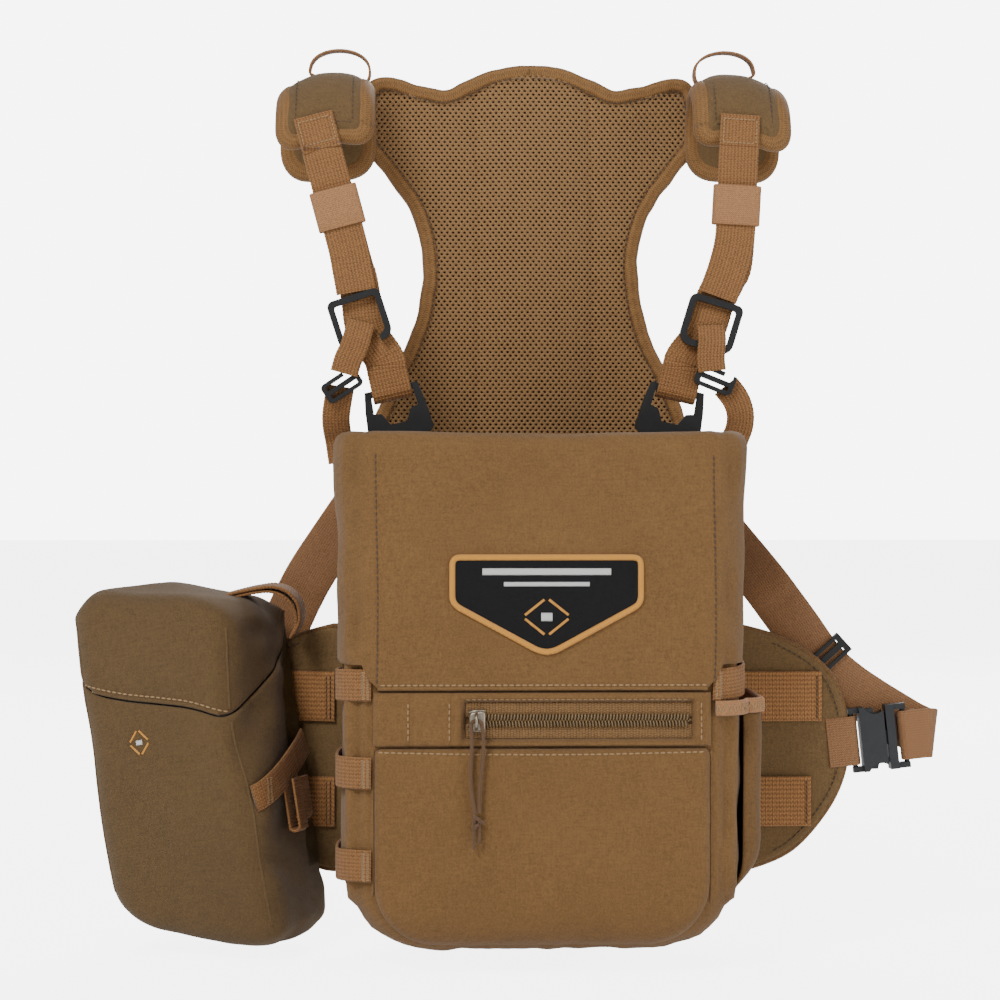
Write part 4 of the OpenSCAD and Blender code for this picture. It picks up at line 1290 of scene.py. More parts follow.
def make_wing(side, at):
    body = side + "_wing_body"
    edge = [Vector((x, 0, z)) for x, z in WING_EDGE]
    edge = [Vector((WING_X - 0.4, 0, 25.4))] + spline(edge, 3) + [Vector((WING_X - 0.4, 0, -97.6))]
    outline = [Vector((p.x, p.z)) for p in edge]
    outline += [Vector((WING_X - 0.4, z)) for z in range(-94, 25, 4)]

    def thickness(x, z):
        channel = fold(x, 151 - 0.0016 * (z + 36) ** 2, 1.2, -1)
        return 4.4 - 1.6 * min(1, channel)

    def place(x, z, o):
        return (x, 2.9 - o + 0.5 * ripple((x, z, 0), 30, 2), z)

    pad = plate(Build(), outline, 4, place, thickness, 2.6)
    wing = piece(side + "_wing_pad", pad, wing_cloth, body, (side + "_wing",), at=at)
    refine(wing)
    rows = Build()
    for x0, x1, z in MOLLE:
        path = [(x0, -0.7, z), ((x0 + x1) / 2, -1.0, z), (x1, -0.7, z)]
        strap(rows, path, (0, 0, 1), MOLLE_WIDTH, 1.5, row=1.8, rib=0.13)
    piece(side + "_wing_webbing_rows", rows, molle_cloth, body, (side + "_wing_webbing",),
          at=at)
    threads = Build()
    for x0, x1, z in MOLLE:
        for x in (x0 + 2.2, x0 + 4.4, x1 - 2.4):
            stitches(threads, line((x, -1.75, z - 11.5), (x, -1.75, z + 11.5)), 2.2, 0.5, 0.38)
    seam = [p for p in edge if -93 < p.z < 20]
    inner = [Vector((p.x - 4.2, 0.45, p.z * 0.955 - 1.4)) for p in seam]
    stitches(threads, inner, 3.0, 0.8, 0.35)
    piece(side + "_wing_stitches", threads, dark_thread, body, at=at)
    cord = Build()
    tube(cord, [Vector((p.x - 0.6, 2.9, p.z)) for p in edge], 1.5, 8)
    piece(side + "_wing_piping", cord, binding_cloth, body, at=at)
    mirror = Matrix.Scale(1 if side == "right" else -1, 4, (1, 0, 0))
    fixed = [mirror @ Vector(p) for p in ((85, 0.7, -36), (88.4, 1.3, -36))]
    moving = [at @ Vector(p) for p in ((92.4, 3.6, -36), (95.6, 5.3, -36), (99.4, 5.4, -36))]
    tape = strap(Build(), fixed + moving, (0, 0, 1), 117, 1.1, row=1.2, rib=0.04)
    tape = piece(side + "_wing_fold_tape", tape, wing_cloth, None)
    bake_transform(tape)


def make_buckle(side, at):
    placed = at @ IN_BUCKLE
    bar, r = -13.4, 2.9
    turn = [Vector((-0.8 + bar + r * math.cos(a), -r * math.sin(a), 0))
            for a in (math.pi / 2 - math.pi * i / 10 for i in range(11))]
    web = [Vector((-26.8, -r, 0)), Vector((-20, -r, 0))] + turn
    web += [Vector((-20, r, 0)), Vector((-26.8, r, 0))]
    build = strap(Build(), web, (0, 0, 1), BELT_WIDTH, 1.4, row=1.6, rib=0.08)
    piece(side + "_buckle_webbing", build, belt_cloth, side + "_wing_body",
          (side + "_buckle_web",), at=placed)
    slant = math.radians(31)
    back = 11.3
    mid, radius = (back - r) / 2, (back + r) / 2
    loop = [Vector((20, r, 0))]
    loop += [Vector((14 - r * math.cos(a), r * math.sin(a), 0))
             for a in (math.pi / 2 - math.pi * i / 10 for i in range(11))]
    turned, leans = [], []
    for i in range(13):
        a, lean = math.radians(-90 + 15 * i), slant * i / 12
        d = 0.7 * radius * math.cos(a)
        turned.append(Vector((24 + d * math.cos(lean), mid + radius * math.sin(a),
                              -d * math.sin(lean))))
        leans.append(Vector((math.sin(lean), 0, math.cos(lean))))
    last = Vector((24 - 12 * math.cos(slant), back, 12 * math.sin(slant)))
    path = loop + [Vector((20, -r, 0))] + turned + [last]
    sides = [Vector((0, 0, 1))] * (len(loop) + 1) + leans + leans[-1:]
    tail_build = strap(Build(), path, sides, BELT_WIDTH, 1.4, row=1.6, rib=0.06)
    piece(side + "_belt_webbing_tail", tail_build, belt_cloth, side + "_plug",
          (side + "_belt_tail",), at=placed)
    for node in ("buckle_socket", "buckle_plug", "prong_upper", "prong_lower"):
        soften(side + "_" + node, grey_plastic, 0.55)
    soften(side + "_triglide", black_plastic, 0.5)


# The belt webbing's path on the wing, in two parts, and on the yoke's side of the fold.
BELT_END = [(136, 14, 23), (148, 13, 6), (160, 13, -5), (173, 13, -14), (186, 13, -22), (196, 13, -28)]
BELT_START = {"right": [(105.6, 36, 66), (117.6, 22, 49), (127.5, 16, 35)],
              "left": [(116.4, 31, 68), (123, 23, 53), (129.6, 17.6, 38)]}
ANCHOR = [(67.4, 53.4, 120), (80.9, 53.4, 101), (91.5, 53.2, 86), (97, 50.4, 78)]


def make_belt(side, at):
    """The belt webbing from the yoke's corner to the wing, which bends where the wing folds."""
    sign = 1 if side == "right" else -1
    anchor = [Vector((sign * x, y, z)) for x, y, z in ANCHOR]
    far = [at @ Vector(p) for p in BELT_START[side][1:] + BELT_END]
    path = anchor + far
    sides = facing_sides(path)
    build = strap(Build(), path, sides, BELT_WIDTH, 1.3, row=1.6, rib=0.05)
    names = (side + "_belt_strap",) + (("belt_anchors",) if side == "right" else ())
    belt = piece(side + "_belt_webbing", build, belt_cloth, None, names)
    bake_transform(belt)


# ---- pouch ---------------------------------------------------------------------------------

POUCH_TILT = Matrix.Rotation(math.radians(-9.5), 4, "Y")
IN_POUCH = LEFT_WING @ Matrix.Translation((-68.6, -36.4, -41)) @ POUCH_TILT
# Half the pouch's width, depth and height, and the height of its lid's hem.
PHW, PHD, PHH, POUCH_SEAM = 45.0, 33.0, 86.0, 36.0
POUCH_POINTS = 72


def pouch_ring(z, inset=0.0):
    """The pouch's plan at height z: rounded in front, squarer behind, drawn in at both ends."""
    drop_x = corner_drop(-PHH + 20 - z, 20) + corner_drop(z - PHH + 12, 12)
    drop_y = corner_drop(-PHH + 12 - z, 12) + corner_drop(z - PHH + 12, 12)
    hx, hy = max(2.0, PHW - drop_x - inset), max(2.0, PHD - drop_y - inset)
    fr, br = min(14 - inset / 2, hx, hy), min(6.0, hx, hy)
    flat = rounded_rect(-hx, hx, -hy, hy, fr, br, 8, 5)
    return [Vector((p.x, p.y, z)) for p in resample(flat, POUCH_POINTS)]


def pouch_slump(p):
    """The pouch's cloth form: fuller low down, sagging between its stitched edges."""
    x, y, z = p
    share = (z + PHH) / (2 * PHH)
    belly = math.sin(math.pi * min(1, max(0, share)))
    front = smoothstep(-10, -30, y)
    out = Vector(p)
    out.y -= 2.2 * belly * front * math.cos(math.pi * min(1, abs(x) / 60) / 2)
    out.x -= 1.6 * math.sin(2 * math.pi * share) * (0.6 + 0.4 * front)
    rise = smoothstep(-40, POUCH_SEAM, z) * smoothstep(PHH, POUCH_SEAM, z)
    out.z += rise * (0.6 * (y + PHD) + 8 * smoothstep(20, PHD, y))
    waist = math.exp(-((z - POUCH_SEAM) / 34) ** 2)
    out.z += 1.6 * ripple((x, y, 0), 40, 3) - 6.0 * waist
    out.z -= (0.22 + 0.08 * smoothstep(86, 40, z)) * x
    out.z -= 8.0 * smoothstep(-20, -46, x) ** 2 * smoothstep(58, 84, z)
    pinch = 7.0 * waist * smoothstep(8, 44, x) * smoothstep(4, -26, y)
    out.x -= pinch + 2.0 * waist * smoothstep(0, -40, x)
    out.z += 3.0 * smoothstep(26, 46, x) * smoothstep(-70, -86, z) * smoothstep(20, -20, y)
    if x > 30 and abs(y) < 30:
        crease = math.sin((z - 1.3 * y) / 11.0) * smoothstep(-58, -20, z) * smoothstep(60, 20, z)
        out.x += 1.7 * crease - 1.0 * smoothstep(-5, 20, y)
    return out


def pouch_shape(p, n):
    side = smoothstep(28, 42, p.x)
    slack = 1.9 * side * ripple((p.x, p.y * 0.7 + p.z * 0.5, p.z * 1.1), 12, 27)
    return 0.9 * ripple((p.x, p.y, p.z * 0.6), 24, 21) + 0.35 * ripple(p, 10, 22) + slack


def pouch_levels(low, high, step=4.0):
    n = round((high - low) / step)
    return [lerp(low, high, i / n) for i in range(n + 1)]


def end_levels(start, end, steps=7):
    """Heights that crowd together towards the end of a rounded edge."""
    return [lerp(start, end, math.sin(math.pi / 2 * i / steps)) for i in range(steps + 1)]


def sew_to_pouch(obj):
    """Bakes the object's transform into its mesh."""
    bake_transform(obj)


def is_rear(p):
    """Whether a place on the pouch is on its rear corner, which has the lining's cloth outside."""
    return p.x > 36 and p.y > 12 and p.z > -62


def ring_middle(ring):
    """The middle of a ring of the pouch, at the height of its first point."""
    x, y = (sum(p[k] for p in ring) / len(ring) for k in (0, 1))
    return Vector((x, y, ring[0].z))


def make_pouch():
    body = "left_wing_body"
    heights = list(reversed(end_levels(-PHH + 20, -PHH, 10))) + pouch_levels(-PHH + 20, POUCH_SEAM)[1:]
    rings = [[pouch_slump(p) for p in pouch_ring(z)] for z in heights]
    middle = ring_middle(rings[0])
    cap = [[p.lerp(Vector((middle.x, middle.y, p.z)), t) for p in rings[0]] for t in (0.25, 0.5, 0.75)]
    build = loft(Build(), cap[::-1] + rings, close_start=True)
    rear = [i for i, f in enumerate(build.faces) if all(is_rear(build.verts[k]) for k in f)]
    shell_piece = piece("pouch_cloth_shell", build, pouch_cloth, body, ("pouch_shell",),
                        at=IN_POUCH, shape=pouch_shape)
    shell_piece.data.materials.append(glossy_lining)
    for i in rear:
        shell_piece.data.polygons[i].material_index = 1
    refine(thicken(shell_piece, 2.0))
    heights = pouch_levels(-PHH + 16, 64, 5)
    inner = [[pouch_slump(p) for p in pouch_ring(z, 3.4)] for z in heights]
    build = loft(Build(), inner, close_start=True)
    liner = piece("pouch_inner_lining", build, glossy_lining, body, ("pouch_liner",),
                  at=IN_POUCH, shape=lambda p, n: 0.9 * ripple((p.x, p.y, p.z * 0.5), 12, 24))
    refine(thicken(liner, 1.0))

    lid_rings = [[pouch_slump(p) for p in pouch_ring(z)] for z in
                 pouch_levels(POUCH_SEAM + 0.6, PHH - 12) + end_levels(PHH - 12, PHH, 8)[1:]]
    top = lid_rings[-1]
    middle = ring_middle(top)
    lid_rings += [[p.lerp(middle, t) for p in top] for t in (0.25, 0.5, 0.75)]
    build = loft(Build(), lid_rings, close_end=True)
    keep = []
    for f in build.faces:
        centre = sum((build.verts[i] for i in f), Vector()) / len(f)
        if centre.y < 31:
            keep.append(f)
    build.faces = keep
    lid_piece = piece("pouch_hood", build, pouch_cloth, None, ("pouch_lid",),
                      at=IN_POUCH, shape=pouch_shape)
    refine(thicken(lid_piece, 2.0))
    sew_to_pouch(lid_piece)
    return shell_piece, lid_piece


def make_pouch_details(shell_piece, lid_piece):
    to_pouch = IN_POUCH.to_3x3()
    front = to_pouch @ Vector((0, 1, 0))
    corner = to_pouch @ Vector((-1, 1, 0)).normalized()
    sideways = to_pouch @ Vector((-1, 0, 0))
    for name, obj, body, low, high in (("pouch_shell", shell_piece, "left_wing_body", -70, 34),
                                       ("pouch_lid", lid_piece, None, 38, 74)):
        tree = skin_of(obj)
        seams = Build()
        for sign in (1, -1):
            path = [IN_POUCH @ pouch_slump(Vector((sign * (PHW - 3), -PHD + 3, z)))
                    for z in range(low, high + 1, 2)]
            aim = corner if sign > 0 else to_pouch @ Vector((1, 1, 0)).normalized()
            tube(seams, lay(tree, path, aim, -0.3), 0.8, 8)
        piping = piece(name + "_piping", seams, pouch_cloth, body)
        if not body:
            sew_to_pouch(piping)
    tree = skin_of(lid_piece)
    threads = Build()
    hem = [IN_POUCH @ pouch_slump(Vector((x, -PHD, POUCH_SEAM + 3.6))) for x in range(-40, 42)]
    stitches(threads, lay(tree, hem, front), 3.0, 0.7, 0.5)
    sew_to_pouch(piece("pouch_lid_stitches", threads, pale_thread, None))
    roll = Build()
    rim = [IN_POUCH @ pouch_slump(Vector((x, -PHD, POUCH_SEAM + 1.8))) for x in range(-41, 42, 2)]
    tube(roll, lay(tree, rim, front, -0.6), 1.1, 8)
    sew_to_pouch(piece("pouch_lid_roll", roll, pouch_cloth, None))
    tree = skin_of(shell_piece)
    motif, heart = Build(), Build()
    normal = -front
    for corners in lozenge_sides(-13, 14, 5.5, 6.5):
        a, b = (IN_POUCH @ Vector((x, -PHD - 3, z)) for x, z in corners)
        placed = lay(tree, [a.lerp(b, 0.12), a.lerp(b, 0.88)], front, 0.1)
        if len(placed) == 2:
            satin(motif, placed, 1.1, 0.5, normal)
    placed = lay(tree, [IN_POUCH @ Vector((-13 + d, -PHD - 3, 14)) for d in (-1.6, 1.6)], front, 0.1)
    satin(heart, placed, 2.6, 0.5, normal)
    piece("pouch_gold_threads", motif, gold_thread, "left_wing_body")
    piece("pouch_white_threads", heart, white_thread, "left_wing_body")

    band = [(PHW - 3.5, -31, -21), (PHW - 0.6, -27, -19.6), (PHW + 1.9, -19, -16.6),
            (PHW + 2.8, -8, -12.6), (PHW + 2.9, 4, -8), (PHW + 2.4, 16, -3.4), (PHW + 1.4, 27, 1)]
    build = strap(Build(), band, (0, -0.4, 1), 14, 1.4, row=1.5, rib=0.13)
    band_piece = piece("pouch_elastic_band", build, strap_cloth, "left_wing_body", ("pouch_band",),
                       at=IN_POUCH)
    tree = skin_of(band_piece)
    tacks = Build()
    for y in (-24, -21.5):
        ends = [IN_POUCH @ Vector((PHW + 4, y, z)) for z in (-25, -12)]
        bartack(tacks, tree, *ends, sideways, 1.6, 0.8)
    piece("pouch_band_tacks", tacks, pale_thread, "left_wing_body")
    build = Build()
    for y, down in ((-4, -38), (4, -33)):
        bend = [(PHW + 2.6, y, -12)] + [(PHW + 5.2 - 2.6 * math.cos(a), y, down - 2.6 * math.sin(a))
                                        for a in (math.pi * i / 8 for i in range(9))]
        strap(build, bend + [(PHW + 7.8, y, -15)], (0, 1, 0), 10, 1.3, row=1.5, rib=0.13)
    piece("pouch_folded_tail", build, strap_cloth, "left_wing_body", ("pouch_tail_loop",),
          at=IN_POUCH)
    build = Build()
    for x in (-78, -46):
        path = [(x, -2.2, -3), (x, -2.4, -39), (x, -2.2, -75)]
        strap(build, path, (1, 0, 0), 20, 1.3, row=1.8, rib=0.1)
    piece("pouch_back_webbing", build, molle_cloth, "left_wing_body", ("pouch_straps",),
          at=LEFT_WING)
    pull = [(PHW - 20, 2, PHH - 7), (PHW - 12, 5, PHH - 6), (PHW - 3, 8, PHH - 5.4),
            (PHW + 5, 12, PHH - 6), (PHW + 11, 15, PHH - 9.5), (PHW + 14, 18, PHH - 16),
            (PHW + 13, 20, PHH - 24), (PHW + 9, 20, PHH - 30)]
    build = strap(Build(), pull, (-0.25, 1, 0.1), 17, 1.6, row=1.5, rib=0.12)
    under = [(x - 2.2, y, z - 2.0) for x, y, z in pull]
    strap(build, under, (-0.25, 1, 0.1), 17, 1.4, row=1.5, rib=0.12)
    piece("pouch_pull_webbing", build, strap_cloth, "pouch_cover", ("pouch_pull_loop",),
          at=IN_POUCH)


# ---- yoke ----------------------------------------------------------------------------------

# The right half of the yoke's outline, from its top middle down, as (x, z).
YOKE_HALF = [(0, 316), (17, 314.5), (31, 309), (44, 303.5), (60, 306), (75, 310), (85, 306),
             (88, 292), (87, 275), (75, 259), (62, 240), (55.6, 217), (57, 195), (62, 175), (72, 154),
             (83, 126), (90, 104), (89, 88), (79, 72), (50, 60)]


def yoke_outline():
    points = YOKE_HALF + [(0, 56)] + [(-x, z) for x, z in reversed(YOKE_HALF[1:])]
    smooth = spline([(x, 0, z) for x, z in points], 3.0, closed=True)
    return [Vector((p.x, p.z)) for p in smooth]


def inward(outline, d):
    """The 2D outline moved sideways by d at every point."""
    n, out = len(outline), []
    for i in range(n):
        t = (outline[(i + 1) % n] - outline[i - 1]).normalized()
        out.append(outline[i] + d * Vector((t.y, -t.x)))
    return out


def yoke_relief(x, z):
    """How far the mesh stands back: two creases down the yoke, puckers in the upper corners."""
    crease = 0.0
    for at in (-29.5, 31.0):
        line_x = at + 1.6 * math.sin((z - 100) / 60)
        crease += 1.1 * math.exp(-((x - line_x) / 1.8) ** 2) * smoothstep(80, 130, z)
        crease += 0.9 * math.exp(-((x - line_x) / 8) ** 2) * smoothstep(80, 130, z)
    swell = -0.9 * math.cos(math.pi * min(1, abs(x) / 42))
    pucker = 0.9 * math.sin((x * 0.8 + z) / 5.2) * smoothstep(44, 70, abs(x)) * smoothstep(262, 284, z)
    return crease + swell + pucker + 0.4 * ripple((x, 0, z), 26, 31)


def make_yoke():
    low, high = box("yoke_binding")
    mesh_y = box("yoke_mesh")[0].y
    outline = yoke_outline()
    inner = inward(outline, 4.0)
    pitch_x, pitch_z = 3.0, 1.9
    knit = Build()
    index = {}

    def corner(x, z):
        """A point of the honeycomb that neighbouring cells share."""
        key = (round(x, 2), round(z, 2))
        if key not in index:
            index[key] = len(knit.verts)
            knit.verts.append(Vector((x, mesh_y + 0.2 + yoke_relief(x, z), z)))
            knit.uvs.append((0, 0))
        return index[key]

    rows = int((high.z - low.z) / pitch_z)
    half_x, shape = pitch_x / 2, pitch_z * 2 / 3
    for r in range(rows):
        z = low.z + 4 + r * pitch_z
        for c in range(-34, 35):
            x = (c + 0.5 * (r % 2)) * pitch_x
            if not inside(Vector((x, z)), inner):
                continue
            cell = [corner(x, z + shape), corner(x + half_x, z + shape / 2),
                    corner(x + half_x, z - shape / 2), corner(x, z - shape),
                    corner(x - half_x, z - shape / 2), corner(x - half_x, z + shape / 2)]
            wide = 0.86 + 0.10 * ripple((x, z, 0), 9, 33)
            rims = []
            for size, depth in ((0.52 * wide, 0.5), (0.44 * wide, 1.5)):
                start = len(knit.verts)
                for k in range(6):
                    a = math.pi / 2 - math.pi / 3 * k
                    hx = x + size * 1.15 * half_x * math.cos(a)
                    hz = z + size * 1.1 * shape * math.sin(a)
                    knit.verts.append(Vector((hx, mesh_y + 0.2 + depth + yoke_relief(hx, hz), hz)))
                    knit.uvs.append((0, 0))
                rims.append([start + k for k in range(6)])
            for k in range(6):
                q = (k + 1) % 6
                knit.faces.append((cell[k], cell[q], rims[0][q], rims[0][k]))
                knit.faces.append((rims[0][k], rims[0][q], rims[1][q], rims[1][k]))
    piece("yoke_spacer_mesh", knit, mesh_cloth, "harness", ("yoke_mesh",))
    under = resample(inward(outline, 4.5), 200)
    foam = plate(Build(), under, 5, lambda x, z, o: (x, mesh_y + 3.4 + yoke_relief(x, z) - o, z),
                 lambda x, z: 2.4, 1.2)
    foam_piece = piece("yoke_foam_core", foam, backing_cloth, "harness", ("yoke_foam",))
    rear_y = box("yoke_back")[1].y
    rear = plate(Build(), resample(inward(outline, 3.0), 200), 5,
                 lambda x, z, o: (x, rear_y - 0.5 + o + 0.5 * ripple((x, 0, z), 30, 35), z),
                 lambda x, z: 1.6, 0.8)
    piece("yoke_rear_cloth", rear, cloth, "harness", ("yoke_back",))
    edge = resample(inward(outline, 3.1), 420)
    middle = (low.y + high.y) / 2
    path = [Vector((p.x, middle, p.y)) for p in edge]
    verts, uvs, m, length = [], [], 14, 0.0
    for i, (p, t) in enumerate(zip(path, tangents(path, closed=True))):
        side = t.cross(Vector((0, 1, 0)))
        length += (path[i] - path[i - 1]).length
        pucker = 1 + 0.07 * math.sin(length / 1.3 + 3 * ripple(p, 12, 40)) + 0.20 * ripple(p, 8, 41)
        drift = 0.8 * ripple(p, 10, 43)
        for k in range(m):
            a = 2 * math.pi * k / m
            flat = abs(math.cos(a)) ** 0.7 * (1 if math.cos(a) > 0 else -1)
            verts.append(p + side * ((3.3 + 0.9 * pucker) * flat + drift)
                         + Vector((0, (high.y - low.y) / 2 * math.sin(a) * pucker, 0)))
            uvs.append((length, 8 * k / m))
    band = Build().add(verts, ring_faces(len(path), m, closed=True), uvs)
    refine(piece("yoke_edge_binding", band, binding_cloth, "harness", ("yoke_binding",)))
    threads = Build()
    for d, y in ((6.6, low.y - 0.3), (6.6, high.y + 0.1)):
        row = [Vector((p.x, y + (yoke_relief(p.x, p.y) if y < middle else 0), p.y))
               for p in resample(inward(outline, d), 900)]
        stitches(threads, row, 3.0, 0.8, 0.38)
    piece("yoke_stitches", threads, dark_thread, "harness")


# ---- shoulder pads and straps --------------------------------------------------------------

# The pads' curl: its middle and radius, a pad's two sides, and the heights of its two ends.
CURL_Y, CURL_Z, CURL_R = 21.0, 279.0, 25.0
PAD_X = (82.4, 129.0)
PAD_FRONT, PAD_BACK = 270.0, 258.0


def on_curl(x, s, offset):
    """A point s along a pad's curl, from its front end over the crest to its back end."""
    u = (x - sum(PAD_X) / 2) / 26
    full = CURL_R - 4.2 * abs(u) ** 2.4
    lean = 7.5 * smoothstep(0.0, 1.15, u) + 2.0 * smoothstep(0.3, 1.1, -u)
    rise, turn = CURL_Z - PAD_FRONT, math.pi * CURL_R
    if s < rise:
        return Vector((x, CURL_Y - full - offset, PAD_FRONT + s - lean))
    if s < rise + turn:
        a = (s - rise) / CURL_R
        r = full + offset
        return Vector((x, CURL_Y - r * math.cos(a), CURL_Z + r * math.sin(a) - lean))
    return Vector((x, CURL_Y + full + offset, CURL_Z - (s - rise - turn) - lean))


def make_shoulder_pad(sign, side):
    x0, x1 = PAD_X
    total = CURL_Z - PAD_FRONT + math.pi * CURL_R + CURL_Z - PAD_BACK
    outline = (arc(x0 + 9, 9, 9, 180, 270, 5) + arc(x1 - 12, 12, 12, 270, 360, 6)
               + arc(x1 - 20, total - 20, 20, 0, 90, 8) + arc(x0 + 16, total - 16, 16, 90, 180, 8))
    outline = [Vector(p) for p in outline]
    ring = resample(outline, 130)
    mirror = Matrix.Scale(sign, 4, (1, 0, 0))

    def place(x, s, o):
        dent = 0.8 * ripple((x * sign, s, 0), 17, 50)
        return on_curl(x, s, o + dent * (1 if o > 0 else 0.3))

    pad = plate(Build(), ring, 3.6, place, lambda x, s: 8.2, 8.0)
    obj = piece(side + "_shoulder_cushion", pad, pad_cloth, "harness",
                ("shoulder_pads",) if sign > 0 else (), at=mirror)
    refine(obj)
    edge = resample(inward(outline, -3.0), 150)
    verts, uvs, m, length = [], [], 12, 0.0
    n = len(edge)
    for i, p in enumerate(edge):
        length += (p - edge[i - 1]).length
        t = (edge[(i + 1) % n] - edge[i - 1]).normalized()
        side_dir = Vector((t.y, -t.x))
        swell = 1 + 0.07 * ripple((p.x, p.y, 0), 6, 52)
        for k in range(m):
            a = 2 * math.pi * k / m
            reach = 5.0 * math.cos(a)
            q = p + side_dir * reach
            verts.append(on_curl(q.x, q.y, 4.5 * swell * math.sin(a)))
            uvs.append((length, 12 * k / m))
    band = Build().add(verts, ring_faces(n, m, closed=True), uvs)
    refine(piece(side + "_pad_binding", band, binding_cloth, "harness",
                 ("pad_bindings",) if sign > 0 else (), at=mirror))
    threads = Build()
    inner = [on_curl(p.x, p.y, 4.2) for p in resample(inward(outline, -9.0), 260)]
    stitches(threads, inner + inner[:1], 3.0, 0.8, 0.35)
    piece(side + "_pad_stitches", threads, dark_thread, "harness", at=mirror)


def make_lash_loops():
    x0, x1 = 83.5, 114.0
    base = CURL_Z + CURL_R + 4.2
    build = Build()
    for sign in (1, -1):
        points = [(sign * (x0 + 4), CURL_Y + 1, base - 6.5), (sign * (x0 + 1), CURL_Y + 1, base - 3.5)]
        for i in range(13):
            a = math.pi * i / 12
            points.append((sign * ((x0 + x1) / 2 - (x1 - x0) / 2 * math.cos(a)),
                           CURL_Y - 2 * math.sin(a), base + 11.0 * math.sin(a) ** 0.8))
        points.append((sign * (x1 - 3), CURL_Y + 1, base - 2.0))
        strap(build, points, (0, 1, 0.05), 9, 1.3, row=1.0, rib=0.05)
    piece("lash_loop_cords", build, belt_cloth, "harness", ("lash_loops",))


SHOULDER_WIDTH, TETHER_WIDTH = 20, 14
# The right clip's middle, its lean, and how far up it its bar is.
CLIP_AT, CLIP_LEAN, CLIP_BAR = Vector((69.6, -3.8, 134)), math.radians(13), 10.4


def clip_up(sign, d):
    """A point d up the leaning clip on one side."""
    return Vector((sign * (CLIP_AT.x + d * math.sin(CLIP_LEAN)), CLIP_AT.y,
                   CLIP_AT.z + d * math.cos(CLIP_LEAN)))


def strap_foot(sign):
    """The strap's lower end: down in front, round the clip's bar and back up behind itself."""
    turn = [clip_up(sign, CLIP_BAR - 4.4 * math.sin(a)) + Vector((0, -4.4 * math.cos(a), 0))
            for a in (math.pi * i / 8 for i in range(9))]
    return ([clip_up(sign, 27) - Vector((0, 5, 0)), clip_up(sign, 20) - Vector((0, 4.6, 0))] + turn
            + [clip_up(sign, 18) + Vector((0, 3, 0)), clip_up(sign, 24) - Vector((0, 1.4, 0)),
               clip_up(sign, 28) - Vector((0, 3, 0))])


# Each side's webbing paths: the strap, its tail, and the tether above and below its frame.
SHOULDER_WEB = {
    "left": [(-111.2, -8.7, 282), (-107, -10, 266), (-105.5, -10, 260), (-92.1, -10, 210),
             (-89, -9.6, 200), (-87.2, -9.2, 190), (-84.6, -9.2, 174)],
    "right": [(103.8, -8.7, 283), (102.9, -10, 268), (102.6, -10, 262), (100, -10, 212),
              (96, -9.6, 200), (91, -9.2, 190), (85.6, -9.2, 174)]}
WEB_TAIL = {
    "left": [(-101.5, -12.1, 245), (-94.2, -12.1, 218), (-91.4, -12.3, 204), (-89.4, -12.4, 193)],
    "right": [(101.8, -12.1, 247), (100.5, -12.1, 222), (97, -12.3, 206), (91.6, -12.4, 191)]}
TETHER = {"left": [(-87, -12.4, 178), (-88.6, -15, 171.5), (-90.6, -15.1, 165), (-93.4, -15.1, 159),
                   (-95.4, -15, 152)],
          "right": [(88.4, -12.4, 176.5), (88.6, -15, 169.5), (88.2, -15.1, 164), (88, -15.1, 159),
                    (88.6, -15, 153.5)]}
TETHER_LOW = {"left": [(-97.4, -9.4, 146), (-98.8, -9, 138), (-99.8, -6, 131), (-99.6, -2, 125),
                       (-98.6, 2.6, 119), (-97, 3.4, 108)],
              "right": [(96, -9.4, 146.5), (101, -9, 140), (103.8, -6.4, 133), (104, -2, 126),
                        (102, 2.6, 119), (99, 3.4, 108)]}
# Each keeper's place, and its lean in degrees.
KEEPER = {"left": ((-98.8, -11.05, 235), -15), "right": ((101.3, -11.05, 237), 3)}


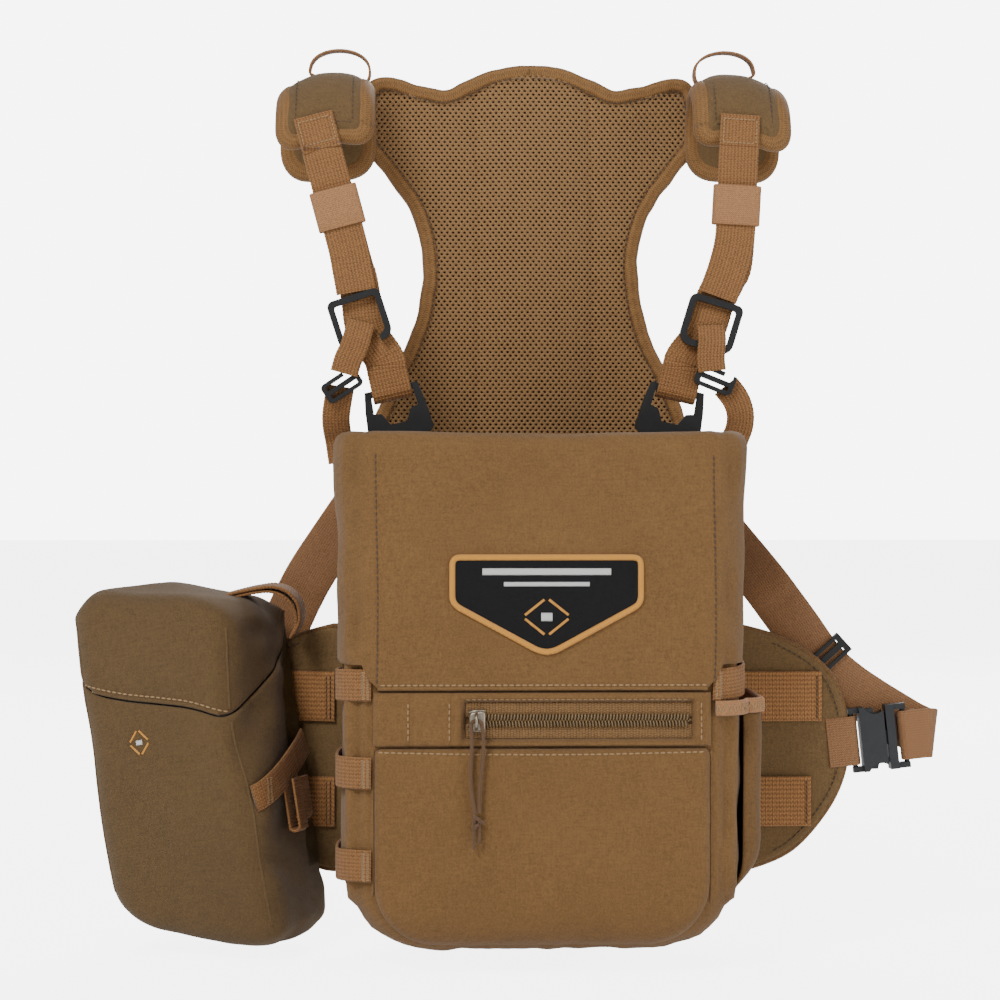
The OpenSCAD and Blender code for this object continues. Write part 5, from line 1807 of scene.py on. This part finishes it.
def make_shoulder_strap(sign, side):
    web = [Vector(p) for p in SHOULDER_WEB[side]]
    foot = strap_foot(sign)
    bar = Vector((math.cos(CLIP_LEAN), 0, -sign * math.sin(CLIP_LEAN)))
    sides = facing_sides(web) + [bar] * len(foot)
    build = strap(Build(), web + foot, sides, SHOULDER_WIDTH, 1.5, row=1.9, rib=0.16)
    tail = [Vector(p) for p in WEB_TAIL[side]]
    strap(build, tail, facing_sides(tail), SHOULDER_WIDTH, 1.4, row=1.9, rib=0.14)
    obj = piece(side + "_shoulder_webbing", build, strap_cloth, "harness",
                (side + "_shoulder_strap",))
    tree = skin_of(obj)
    threads = Build()
    t = (web[1] - web[0]).normalized()
    across = Vector((-t.z, 0, t.x)).normalized()
    for d in (2.5, 14.5):
        centre = web[0] + t * d
        row = line(centre - across * 8.6 - FRONT * 4, centre + across * 8.6 - FRONT * 4)
        stitches(threads, lay(tree, row, FRONT, 0.1), 2.0, 0.4, 0.36)
    for off in (-8.2, 8.2):
        row = line(*(web[0] + t * d + across * off - FRONT * 4 for d in (2.5, 14.5)))
        stitches(threads, lay(tree, row, FRONT, 0.1), 2.0, 0.4, 0.36)
    piece(side + "_strap_stitches", threads, pale_thread, "harness")
    place, lean = KEEPER[side]
    frame_at = Matrix.Translation(place) @ Matrix.Rotation(math.radians(lean), 4, "Y")
    hx, hy, r = 11.5, 2.75, 1.6
    flat = rounded_rect(-hx, hx, -hy, hy, r, r, 4, 4)
    loop = [Vector((p.x, p.y, 0)) for p in resample(flat, 48)]
    band = strap(Build(), loop, (0, 0, 1), 20, 1.0, row=1.3, rib=0.05, closed=True)
    piece(side + "_keeper_elastic", band, keeper_cloth, side + "_keeper_body", (side + "_keeper",),
          at=frame_at)


def make_tethers():
    build = Build()
    for paths in (TETHER, TETHER_LOW):
        for side in ("left", "right"):
            path = [Vector(p) for p in paths[side]]
            strap(build, path, facing_sides(path), TETHER_WIDTH, 1.2, row=1.7, rib=0.13)
    piece("tether_webbing", build, strap_cloth, "harness", ("tether_straps",))


def make_hardware():
    for node in ("tether_frames", "tether_adjusters", "top_clips"):
        soften(node, black_plastic, 0.7)
    for node in ("pack_magnets", "lid_magnets"):
        soften(node, magnet_metal, 0.2)


def main():
    add_camera()
    add_studio()
    add_floor()
    shell = make_pack_body()
    make_back_panel()
    pocket = make_front_pocket()
    make_zip_panel()
    make_zipper()
    make_zip_pull()
    make_pack_seams(shell, pocket)
    make_side_pocket()
    make_side_loops()
    make_lid()
    make_patch()
    for side, at in SIDES:
        make_wing(side, at)
        make_buckle(side, at)
        make_belt(side, at)
    make_pouch_details(*make_pouch())
    make_yoke()
    for sign, side in ((1, "right"), (-1, "left")):
        make_shoulder_pad(sign, side)
        make_shoulder_strap(sign, side)
    make_lash_loops()
    make_tethers()
    make_hardware()


main()
